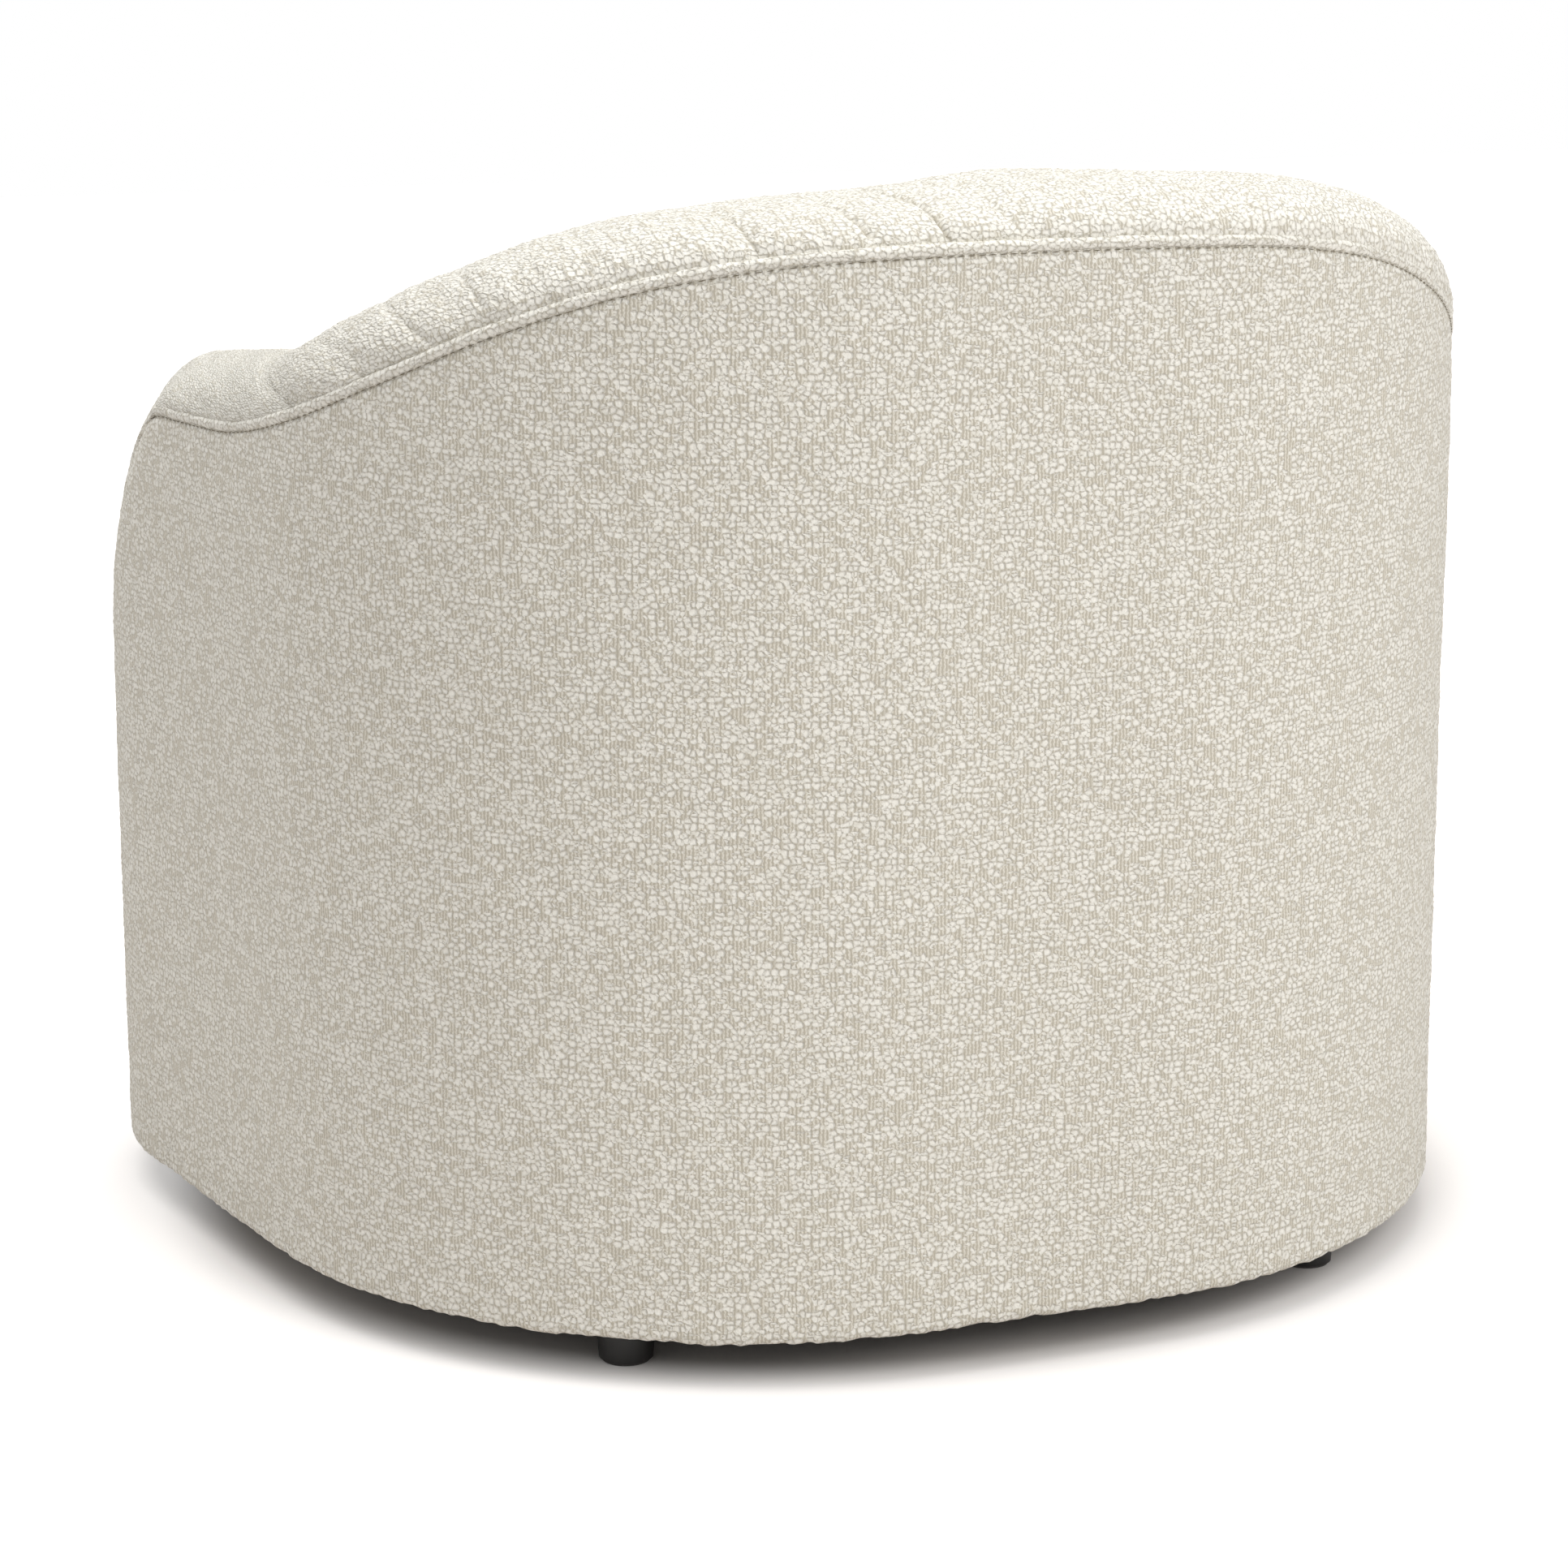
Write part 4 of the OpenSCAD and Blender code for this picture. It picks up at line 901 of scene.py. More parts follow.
@dataclass
class GatheredRoll:
    """The cover over the top and down the inside, gathered along the welt."""

    form: WallForm
    step: float = 2.6 * MM
    fine: float = 1.5 * MM
    gathers: int = 17
    stand: float = 4 * MM
    puff_at: tuple[float, ...] = (-0.48, -0.40, -0.31, -0.24, -0.17, -0.10, -0.04, 0.02, 0.10, 0.25)
    puffs: tuple[float, ...] = (0, 0.005, 0.0075, 0.0075, 0.0065, 0.004, -0.001, -0.005, -0.0035, 0)
    crease_at: tuple[float, ...] = (-0.475, -0.35, -0.12, 0.0, 0.06, 0.30, 0.38, 0.44, 0.475)
    creased: tuple[float, ...] = (0, 0.35, 0.5, 0.6, 1, 1, 0.7, 0.3, 0)
    swell_at: tuple[float, ...] = (0, 0.012, 0.05, 0.12, 0.22, 0.6)
    swells: tuple[float, ...] = (0.7, 0.95, 1, 0.8, 0.45, 0.35)
    puff_t: float = 60 * MM
    puff_up: float = 55 * MM
    broad_w: float = 9.5 * MM
    crease_w: float = 2.3 * MM
    crease_d: float = 3.0 * MM
    wrinkle_w: float = 1.7 * MM
    wrinkle_d: float = 1.6 * MM
    wrinkles: int = 98
    seam_dip: float = 1.8 * MM
    dip_reach: float = 3.5 * MM
    end_dip: float = 3.2 * MM
    end_reach: float = 17 * MM
    under_front: float = 3.0 * MM
    loop_h: float = 1.1 * MM
    under_welt: float = 1.0 * MM
    bend: float = 2.4 * MM
    bend_from: float = 30 * MM
    lean_reach: float = 110 * MM
    crease_start: float = 6 * MM
    waves: float = 1.3 * MM
    seam_waves: float = 0.5 * MM
    seam_reach: float = 30 * MM
    lumps: float = 0.5 * MM
    lump_step: float = 24 * MM
    cloth_from: float = 0.9
    gather_reach: tuple[float, float] = (40, 150)
    wrinkle_reach: tuple[float, float] = (26, 85)
    latest_start: float = 16
    stray: float = 0.4
    leans: tuple[float, float] = (0.24, 0.46)
    lean_turns_at: float = -0.25
    lean_turns_over: float = 0.1
    broad_least: float = 0.1
    broad_more: float = 0.6
    broad_power: float = 1.8
    fade_power: float = 0.6
    fade_kept: float = 0.35
    bend_steps: tuple[float, float] = (26 * MM, 9 * MM)
    seam_wave_step: float = 10 * MM
    seam_slant: float = 0.22
    wave_step: float = 55 * MM
    seed: int = 7

    def drawn(self, count: int, reach: tuple[float, float]) -> dict[str, Array]:
        """Return a row of creases: where each stands, how strong and how long it is.

        Args:
            count: How many spaces lie between the creases.
            reach: The shortest and longest crease, in millimetres.

        Returns:
            Values by name, one for each crease.
        """
        rng = np.random.default_rng(self.seed + count)
        pitch = 2 * self.form.crease_s / count
        at = (np.arange(count + 1) - count / 2) * pitch
        at[1:-1] += rng.uniform(-self.stray, self.stray, count - 1) * pitch
        left = np.interp(at, self.crease_at, self.creased)
        turned = np.clip((at - self.lean_turns_at) / self.lean_turns_over, -1, 1)
        lean = rng.uniform(*self.leans, count + 1) * turned
        return {
            "at": at,
            "broad": left * (self.broad_least + self.broad_more
                             * rng.uniform(0, 1, count + 1) ** self.broad_power),
            "sharp": left * rng.uniform(0, 1, count + 1) ** 2,
            "first": rng.uniform(0, self.latest_start, count + 1) * MM,
            "reach": rng.uniform(*reach, count + 1) * MM,
            "lean": lean,
        }

    def relief(self, s: Array, t: Array) -> tuple[Array, Array]:
        """Return how far the gathers stand out, and where their creases are.

        Args:
            s: Stations of the cloth.
            t: Lengths from the welt over the crown.

        Returns:
            Heights over the form's base, down to the valleys' floors, and how deep in a
            crease each place lies, from 0 to 1.
        """
        swell = np.interp(t, self.swell_at, self.swells)
        height = self.stand * swell
        folds = 0 * t
        long_step, short_step = self.bend_steps
        bent = rolling(s, t, long_step, seed=23) + 0.5 * rolling(s, t, short_step, seed=24)
        bent = self.bend * bent * np.clip(t / self.bend_from, 0, 1)
        gathers = self.drawn(2 * self.gathers, self.gather_reach)
        wrinkles = self.drawn(self.wrinkles, self.wrinkle_reach)
        rows = (
            (gathers, self.crease_w, self.crease_d, self.stand),
            (wrinkles, self.wrinkle_w, self.wrinkle_d, 0.0),
        )
        for row, width, depth, stand in rows:
            at, lean = row["at"], np.interp(s, row["at"], row["lean"])
            placed = s - lean * np.clip(t, 0, self.lean_reach) + bent
            placed = np.clip(placed, at[0], at[-1] - TINY)
            k = np.searchsorted(at, placed, side="right") - 1
            for side in (-1, 0, 1, 2):
                j = np.clip(k + side, 0, len(at) - 1)
                away = np.abs(placed - at[j])
                fade = np.clip(1 - t / row["reach"][j], 0, 1) ** self.fade_power
                kept = self.fade_kept + (1 - self.fade_kept) * fade
                begun = np.clip((t - row["first"][j]) / self.crease_start, 0, 1)
                broad = hump(away, self.broad_w) * row["broad"][j]
                sharp = hump(away, width) * row["sharp"][j] * fade * begun
                height = height - stand * swell * broad * kept - depth * sharp
                folds = np.maximum(folds, sharp)
        high = np.interp(s, self.puff_at, self.puffs)
        height = height + high * hump(t - self.puff_t, self.puff_up)
        leaning = s - self.seam_slant * np.sign(s) * t
        small = rolling(leaning, t / 6, self.seam_wave_step, seed=21)
        height = height + self.seam_waves * small * np.exp(-t / self.seam_reach)
        return height + self.waves * rolling(s, t / 2, self.wave_step, seed=22), folds

    def build(self, wardrobe: Wardrobe) -> bpy.types.Object:
        """Build the cover, dress it and return it."""
        form = self.form
        end = form.crease_s + self.under_front
        s = np.linspace(-end, end, round(2 * end / self.fine))
        first = form.angle_of(s, form.cover_edge(s, self.under_welt))
        first = np.maximum(first, math.radians(1.0))
        a = first[:, None] + (math.pi - first)[:, None] * np.linspace(0, 1, OVER_POINTS)
        over = form.form_at(form.slanted(s[:, None], a), a, self.stand)
        foot = form.slanted(s, math.pi + 0 * s)
        top_z = form.shoulder(foot)
        down = np.linspace(0, 1, DOWN_POINTS)[1:]
        z = top_z[:, None] + (form.inside_low - top_z)[:, None] * down
        inner = form.inner_at(foot[:, None] + 0 * z, self.stand, z)
        lines = np.concatenate([over, inner], axis=1)
        count = round(float(lengths(lines, 1)[:, -1].max()) / self.step)
        base = respaced(lines, count)
        t = lengths(base, 1)
        u = np.broadcast_to(s[:, None], t.shape)
        side = np.maximum(form.crease_s - np.abs(u), 0.0)
        height, folds = self.relief(u, t)
        height = height - self.seam_dip * hump(t, self.dip_reach)
        near = hump(side, self.end_reach)
        height = height * (1 - near) + near * (self.stand - self.end_dip)
        height = height - np.maximum(np.abs(u) - form.crease_s, 0.0)
        height = height + self.loop_h * loops(u, t, seed=17)
        height = height + self.lumps * rolling(u, t, self.lump_step, seed=5)
        points = base + faces_out(base, flip=True) * height[..., None]
        across = lengths(base, 0)
        lay = np.stack([across - across[len(s) // 2], t + self.cloth_from], axis=-1).reshape(-1, 2)
        quads = grid_quads(*points.shape[:2])
        piece = mesh_object("gathered_roll", points.reshape(-1, 3), quads, lay,
                            LOOPS_CLOSE, folds)
        wardrobe.dress(piece, "cover_cloth", "chair", ("gathered_cover",))
        return piece


@dataclass
class ArmFront:
    """One plain rounded arm front, from the crease forward to the apron."""

    form: WallForm
    side: int
    name: str
    step: float = 2.6 * MM
    seam_dip: float = 2.6 * MM
    dip_reach: float = 3.8 * MM
    end_dip: float = 3.2 * MM
    end_reach: float = 17 * MM
    under_roll: float = 3.0 * MM
    fullness: float = 2.2 * MM
    full_reach: float = 70 * MM
    swell_least: float = 0.8
    swell_wave: float = 0.4
    wave_step: float = 90 * MM
    sunk: float = 0.8 * MM
    lumps: float = 0.5 * MM
    low_lumps: float = 0.4 * MM
    lump_step: float = 22 * MM
    under_welt: float = 1.0 * MM
    low_reach: float = 40 * MM
    least_share: float = 0.02
    tuck_z: tuple[float, float] = (2 * MM, 32 * MM)
    tuck_outside: tuple[tuple[float, float], ...] = ((12 * MM, 5 * MM), (2 * MM, 4 * MM))
    tuck_inside: tuple[tuple[float, float], ...] = ((8 * MM, 3 * MM), (40 * MM, 3 * MM))
    rising_points: int = 40
    down_points: int = 50
    loop_h: float = 0.8 * MM

    def line(self, s: float) -> Array:
        """Return one line of points from the hem or welt over the crown to the seat."""
        form = self.form
        past = s > form.s_drop + self.under_welt
        low = form.turn_base if past else float(form.cover_edge(s, self.under_welt))
        low = max(low, form.turn_base)
        shoulder = float(form.shoulder(s))
        count = self.rising_points if low < shoulder else 1
        z = np.linspace(low, max(shoulder, low), count)
        rising = form.hung(s + 0 * z, z, 0.0)
        first = float(form.angle_of(s, low)) if low > shoulder else 0.0
        a = np.linspace(first, math.pi, OVER_POINTS)[1:]
        over = form.form_at(form.plain(s, a), a, 0.0)
        foot = float(form.plain(s, math.pi))
        top = float(form.shoulder(foot))
        down = np.linspace(top, form.inside_low, self.down_points)[1:]
        inner = form.inner_at(foot + 0 * down, 0.0 * down, down)
        return np.concatenate([rising, over, inner])

    def over(self, s: Array) -> tuple[Array, Array]:
        """Return the part over the crown at stations s: its points and lengths up it."""
        form = self.form
        lines = [self.line(v) for v in s]
        longest = max(float(np.linalg.norm(np.diff(q, axis=0), axis=1).sum()) for q in lines)
        count = round(longest / self.step)
        base = np.concatenate([respaced(q[None], count) for q in lines])
        base[..., 0] *= self.side
        t = lengths(base, 1)
        u = np.broadcast_to(s[:, None], t.shape)
        past = s[:, None] >= form.s_drop
        low_part = np.clip(1 - (base[..., 2] - form.turn_base) / self.low_reach, 0, 1)
        beside = (u - form.s_drop) / np.maximum(low_part, self.least_share)
        seam = np.where(past, beside, t)
        along = np.maximum(u - form.crease_s, 0.0)
        broad = filled(np.minimum(along, form.s_apron - u), self.full_reach)
        waves = self.swell_least + self.swell_wave * rolling(u, t, self.wave_step, seed=31)
        height = self.fullness * broad * waves
        height = height - self.seam_dip * hump(seam, self.dip_reach)
        close = hump(along, self.end_reach)
        height = (height - self.sunk) * (1 - close) - self.end_dip * close
        height = height - np.maximum(form.crease_s - u, 0.0) + self.loop_h * loops(u, t, seed=29)
        height = height + self.lumps * rolling(u, t, self.lump_step, seed=32)
        return base + faces_out(base, self.side > 0) * height[..., None], t

    def skirt(self, s: Array, z: Array) -> Array:
        """Return the upright part's points at stations s and heights z, its hem first."""
        form = self.form
        base = form.outer_at(s[:, None], 0.0, np.broadcast_to(z, (len(s), len(z))))
        base[..., 0] *= self.side
        u = np.broadcast_to(s[:, None], base.shape[:2])
        low = base[..., 2] - form.hem_z
        inward = np.minimum(u - form.crease_s, form.s_apron - u)
        height = self.swell_least * self.fullness * filled(inward, self.full_reach)
        height = height - self.seam_dip * hump(u - form.s_drop, self.dip_reach) - self.sunk
        height = height - form.hem_rounding(low) + self.loop_h * loops(u, base[..., 2], seed=29)
        height = height + self.low_lumps * rolling(u, base[..., 2], self.lump_step, seed=33)
        points = base + faces_out(base, self.side > 0) * height[..., None]
        points[..., 2] += hem_waves(u, low)
        hem = form.turned_hem(s)
        hem[..., 0] *= self.side
        return np.concatenate([hem, points], axis=1)

    def build(self, wardrobe: Wardrobe) -> bpy.types.Object:
        """Build the arm front, dress it and return it."""
        form = self.form
        start, end = form.crease_s - self.under_roll, form.s_apron
        s = np.linspace(start, end, round((end - start) / self.step))
        upper, t = self.over(s)
        u = np.broadcast_to(s[:, None], t.shape)
        first = int(np.searchsorted(s, form.s_drop + self.under_welt))
        rows = round((form.turn_base - form.hem_z) / self.step)
        z = np.linspace(form.hem_z, form.turn_base, rows + 1)[:-1]
        points, faces = self.join(upper, self.skirt(s[first:], z), first)
        tuck, tuck_faces, tuck_lay = self.tuck(end)
        low_z = form.hem_places(z[None])[0]
        lay = np.concatenate([
            np.stack([u, t + form.turn_base], axis=-1).reshape(-1, 2),
            np.stack(np.meshgrid(s[first:], low_z, indexing="ij"), axis=-1).reshape(-1, 2),
            tuck_lay,
        ])
        faces = np.concatenate([faces, tuck_faces + len(points)])
        piece = mesh_object(self.name, np.concatenate([points, tuck]), faces, lay,
                            LOOPS_CLOSE)
        node = "arm_front_cover_left" if self.side > 0 else "arm_front_cover_right"
        wardrobe.dress(piece, "cover_cloth", "chair", (node,))
        return piece

    def tuck(self, end: float) -> tuple[Array, Array, Array]:
        """Return the cloth tucked in round the inner corner: points, faces and places."""
        form = self.form
        low, high = self.tuck_z
        z = np.linspace(form.hem_z + low, form.turn_base + high, OVER_POINTS)
        outside, inside = self.tuck_outside, self.tuck_inside
        points = np.stack(
            [form.outer_at(end - before + 0 * z, deep, z) for before, deep in outside]
            + [form.inner_at(end - before + 0 * z, deep, z) for before, deep in inside])
        points[..., 0] *= self.side
        faces = grid_quads(*points.shape[:2], flip=self.side < 0)
        lay = np.stack([lengths(points, 0), np.broadcast_to(z, points.shape[:2])], axis=-1)
        return points.reshape(-1, 3), faces, lay.reshape(-1, 2)

    def join(self, upper: Array, lower: Array, first: int) -> tuple[Array, Array]:
        """Weld the skirt's top to the upper part's first row.

        Args:
            upper: Points over the crown, by station and row.
            lower: Points of the skirt, by station and row.
            first: The upper part's station at which the skirt starts.

        Returns:
            All points and their faces.
        """
        flip = self.side < 0
        points = np.concatenate([upper.reshape(-1, 3), lower.reshape(-1, 3)])
        faces = [grid_quads(*upper.shape[:2], flip)]
        shift = upper.shape[0] * upper.shape[1]
        faces.append(grid_quads(*lower.shape[:2], flip) + shift)
        top = shift + np.arange(lower.shape[0]) * lower.shape[1] + lower.shape[1] - 1
        foot = (first + np.arange(lower.shape[0])) * upper.shape[1]
        bridge = np.stack([top[:-1], top[1:], foot[1:], foot[:-1]], axis=-1)
        faces.append(bridge[:, ::-1] if flip else bridge)
        return points, np.concatenate(faces)


@dataclass
class Apron:
    """The padded front under the seat, bowed forward, tucked over the front rail."""

    form: WallForm
    step: float = 2.6 * MM
    top_z: float = 264.5 * MM
    round_r: float = 25.3 * MM
    tuck_bend: float = 42 * MM
    tuck: float = 60 * MM
    past_arm: float = 4.5 * MM
    fullness: float = 2.0 * MM
    full_reach: float = 60 * MM
    sunk: float = 1.0 * MM
    seam_dip: float = 3 * MM
    dip_reach: float = 6 * MM
    lumps: float = 0.5 * MM
    lump_step: float = 24 * MM
    loop_h: float = 0.8 * MM

    def build(self, wardrobe: Wardrobe) -> bpy.types.Object:
        """Build the apron, dress it and return it."""
        form = self.form
        side = form.bend[2][0] + self.past_arm
        turn = np.linspace(0, math.pi / 2, 14)
        rise = np.linspace(form.hem_z, self.top_z - self.round_r, 90)[:-1]
        insets = np.concatenate([
            [form.hem_turn, form.hem_turn / 2], 0 * rise,
            self.round_r * (1 - np.cos(turn)), [self.tuck_bend, self.tuck],
        ])
        heights = np.concatenate([
            [form.hem_z + MM, form.hem_z - form.hem_sag], rise,
            self.top_z - self.round_r * (1 - np.sin(turn)), [self.top_z, self.top_z],
        ])
        share = np.linspace(-1, 1, round(2 * side / self.step))[:, None]
        r = form.apron_r - insets[None]
        heading = np.arcsin(side / r) * share
        base = np.stack([
            r * np.sin(heading),
            form.half_depth + form.apron_c[1] - r * np.cos(heading),
            np.broadcast_to(heights, heading.shape),
        ], axis=-1)
        t = lengths(base, 1)
        u = np.broadcast_to(share * side, t.shape)
        edge = side - np.abs(u)
        height = self.fullness * filled(edge, self.full_reach) - self.sunk
        height = height - self.seam_dip * hump(edge, self.dip_reach)
        height = height - form.hem_rounding(base[..., 2] - form.hem_z) * (insets < MM)
        height = height + self.loop_h * loops(u, t, seed=41)
        height = height + self.lumps * rolling(u, t, self.lump_step, seed=42)
        points = base + faces_out(base, flip=False) * height[..., None]
        quads = grid_quads(*points.shape[:2], flip=True)
        lay = np.stack([u, t], axis=-1).reshape(-1, 2)
        piece = mesh_object("apron_pad", points.reshape(-1, 3), quads, lay)
        wardrobe.dress(piece, "cover_cloth", "chair", ("apron_cover",))
        return piece


@dataclass
class SeamWelt:
    """The narrow welt along the panel's edge, with its row of stitches below."""

    form: WallForm
    step: float = 2.4 * MM
    radius: float = 3.4 * MM
    sides: int = 16
    seat: float = 2.4 * MM
    stitch_run: float = 4.4 * MM
    stitch_gap: float = 1.9 * MM
    stitch_below: float = 0.5 * MM
    stitch_seat: float = 0.4 * MM
    stitch_rise: float = 0.4 * MM
    thread_r: float = 0.32 * MM
    thread_end: float = 0.15
    uneven: float = 0.30 * MM
    lump_step: float = 17 * MM
    cloth_from: float = 2.0
    rise_points: int = 160
    turn_points: int = 90
    flat_points: int = 300
    thread_sides: int = 6
    thread_rings: int = 5
    thread_step: float = 0.5 * MM

    def path(self, below: float) -> tuple[Array, Array]:
        """Return stations and heights along the welt's line, from hem to hem.

        Args:
            below: How far under or inside the line the path runs.

        Returns:
            Stations and heights of the path's points.
        """
        form = self.form
        a, b = form.turn_run - below, form.turn_drop - below
        rise = np.linspace(form.hem_z, form.turn_base, self.rise_points)[:-1]
        turn = np.linspace(math.pi / 2, 0, self.turn_points)[:-1]
        flat = np.linspace(form.s_turn, 0, self.flat_points)
        s = np.concatenate([form.s_turn + a + 0 * rise, form.s_turn + a * np.sin(turn), flat])
        level = form.seam_level(flat) - below
        z = np.concatenate([rise, form.turn_base + b * np.cos(turn), level])
        return np.concatenate([s, -s[-2::-1]]), np.concatenate([z, z[-2::-1]])

    def even(self, below: float, depth: float, step: float) -> tuple[Array, Array]:
        """Return points an even step apart along the line, and the directions out there."""
        form = self.form
        s, z = self.path(below)
        rough = form.hung(s, z, depth)
        run = lengths(rough[None], 1)[0]
        at = np.linspace(0, run[-1], round(run[-1] / step))
        s, z = np.interp(at, run, s), np.interp(at, run, z)
        line, deeper = form.hung(s, z, depth), form.hung(s, z, depth + MM)
        face = line - deeper
        return line, face / np.linalg.norm(face, axis=1, keepdims=True)

    def build(self, wardrobe: Wardrobe) -> bpy.types.Object:
        """Build the welt, dress it and return it."""
        line, face = self.even(0.0, self.seat, self.step)
        rings, out = tube(line, face, self.radius, self.sides, closed=False)
        u = np.broadcast_to(lengths(line[None], 1)[0][:, None], rings.shape[:2])
        v = np.broadcast_to(np.arange(self.sides) * TURN * self.radius / self.sides, u.shape)
        lumps = rolling(u, 0 * v, self.lump_step, seed=52)
        height = self.uneven * (loops(u, v, seed=51) + lumps)
        rings = rings + out * height[..., None]
        quads = grid_quads(len(line), self.sides, ring=True)
        lay = np.stack([u, v + self.cloth_from], axis=-1).reshape(-1, 2)
        piece = mesh_object("seam_welt_cord", rings.reshape(-1, 3), quads, lay, 1.0)
        wardrobe.dress(piece, "cover_cloth", "chair", ("seam_welt",))
        self.stitches(wardrobe)
        return piece

    def stitches(self, wardrobe: Wardrobe) -> bpy.types.Object:
        """Build the stitches under the welt, dress them and return them."""
        below = self.radius + self.stitch_below
        line, face = self.even(below, self.stitch_seat, self.thread_step)
        run = lengths(line[None], 1)[0]
        pitch = self.stitch_run + self.stitch_gap
        parts, faces, sides, rings = [], [], self.thread_sides, self.thread_rings
        for n in range(int(run[-1] / pitch)):
            at = n * pitch + np.linspace(0, self.stitch_run, rings)
            k = np.searchsorted(run, at)
            centre, out = line[k], face[k]
            bulge = np.sin(np.linspace(self.thread_end, math.pi - self.thread_end, rings))
            ring = tube(centre, out, self.thread_r, sides, closed=False)[0]
            ring = centre[:, None] + (ring - centre[:, None]) * bulge[:, None, None]
            faces.append(grid_quads(rings, sides, ring=True) + len(parts) * rings * sides)
            rise = bulge[:, None, None] * self.stitch_rise
            parts.append((ring + out[:, None] * rise).reshape(-1, 3))
        points = np.concatenate(parts)
        piece = mesh_object("seam_stitches", points, np.concatenate(faces), points[:, :2])
        return wardrobe.dress(piece, "thread", "chair", ())


# Seat and underside


@dataclass
class SeatOutline:
    """The seat's plan: the wall's inside line, rounded corners and the apron's bow."""

    form: WallForm
    corner_r: float = 26 * MM
    front_in: float = 4 * MM
    end_share: float = 0.86
    draw: float = 5 * MM
    corner_inside: float = 7 * MM
    wall_points: int = 220
    bend_points: int = 20
    front_points: int = 90

    def loop(self, inside: float, step: float = 3 * MM) -> Array:
        """Return plan points, evenly spaced, a distance inside the wall's face."""
        form = self.form
        side = float(form.inner_at(np.array(form.s_apron), -inside, 0.0)[0])
        r = self.corner_r - (inside - self.corner_inside)
        big = form.apron_r - self.front_in - (inside - self.corner_inside)
        turn = math.pi - math.asin((side - r) / (big - r))
        arc_c = np.array([0.0, form.half_depth + form.apron_c[1]])
        corner = arc_c + (big - r) * rays(turn)
        end = form.s_nose + (form.s_apron - form.s_nose) * self.end_share
        s = np.linspace(0, end, self.wall_points)
        share = np.clip((s - form.s_side) / (form.s_apron - form.s_side), 0, 1)
        behind = -inside - self.draw * np.sin(math.pi * share)
        wall = form.inner_at(s, behind, 0 * s)[:, :2]
        bent, bowed = np.linspace(0, 1, self.bend_points), np.linspace(0, 1, self.front_points)
        bend = corner + r * rays(math.pi / 2 + (turn - math.pi / 2) * bent)
        front = arc_c + big * rays(turn + (math.pi - turn) * bowed)[1:]
        half = np.concatenate([wall, bend, front])
        mirrored = half[-2:0:-1] * [-1, 1]
        whole = np.concatenate([half, mirrored, half[:1]])
        run = lengths(np.pad(whole, [(0, 0), (0, 1)])[None], 1)[0]
        at = np.linspace(0, run[-1], round(run[-1] / step) + 1)[:-1]
        return np.stack([np.interp(at, run, whole[:, k]) for k in (0, 1)], axis=1)


@dataclass
class Underlay:
    """The two flat sheets: the lining over the seat deck and the cloth underneath."""

    form: WallForm
    outline: SeatOutline
    rings: int = 26
    innermost: float = 0.004
    wave_step: float = 70 * MM
    outline_points: int = 260
    deck_in: float = 1.0 * MM
    deck_step: float = 8 * MM
    deck_under: float = 0.6 * MM
    deck_rise: float = 0.5 * MM
    deck_filled: float = 0.86
    dust_in: float = 13.9 * MM
    dust_over: float = 0.4 * MM
    dust_sag: float = 0.6 * MM
    dust_filled: float = 0.88

    def disc(self, name: str, loop: Array, z: float, rise: float, seed: int) -> bpy.types.Object:
        """Make a sheet that fills a plan loop, with slight waves in it."""
        share = np.linspace(1, self.innermost, self.rings)[:, None, None]
        plan = self.form.middle + (loop[None] - self.form.middle) * share
        u, v = plan[..., 0], plan[..., 1]
        wave = rolling(u, v, self.wave_step, seed) * 0.5 * abs(rise)
        wave = wave + rise * (1 - share[..., 0] ** 2)
        points = np.concatenate([plan, (z + wave)[..., None]], axis=-1)
        quads = grid_quads(*points.shape[:2], flip=rise > 0, ring=True)
        return mesh_object(name, points.reshape(-1, 3), quads, plan.reshape(-1, 2))

    def build(self, wardrobe: Wardrobe) -> None:
        """Build both sheets and dress them."""
        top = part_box("deck_cloth")[1][2]
        loop = self.outline.loop(self.deck_in, self.deck_step)
        deck = self.disc("deck_lining", loop, top - self.deck_under, self.deck_rise, seed=61)
        wardrobe.dress(deck, "lining", "chair", ("deck_cloth",))
        form = self.form
        half_way = form.s_apron + form.apron_r * (math.pi - form.nose_turn)
        s = np.linspace(0, half_way, self.outline_points)
        half = form.outer_at(s, self.dust_in, 0 * s)[:, :2]
        loop = np.concatenate([half, half[-2:0:-1] * [-1, 1]])
        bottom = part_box("dust_cover")[0][2]
        dust = self.disc("underside_cloth", loop, bottom + self.dust_over, -self.dust_sag, seed=62)
        wardrobe.dress(dust, "dust_cloth", "chair", ("dust_cover",))


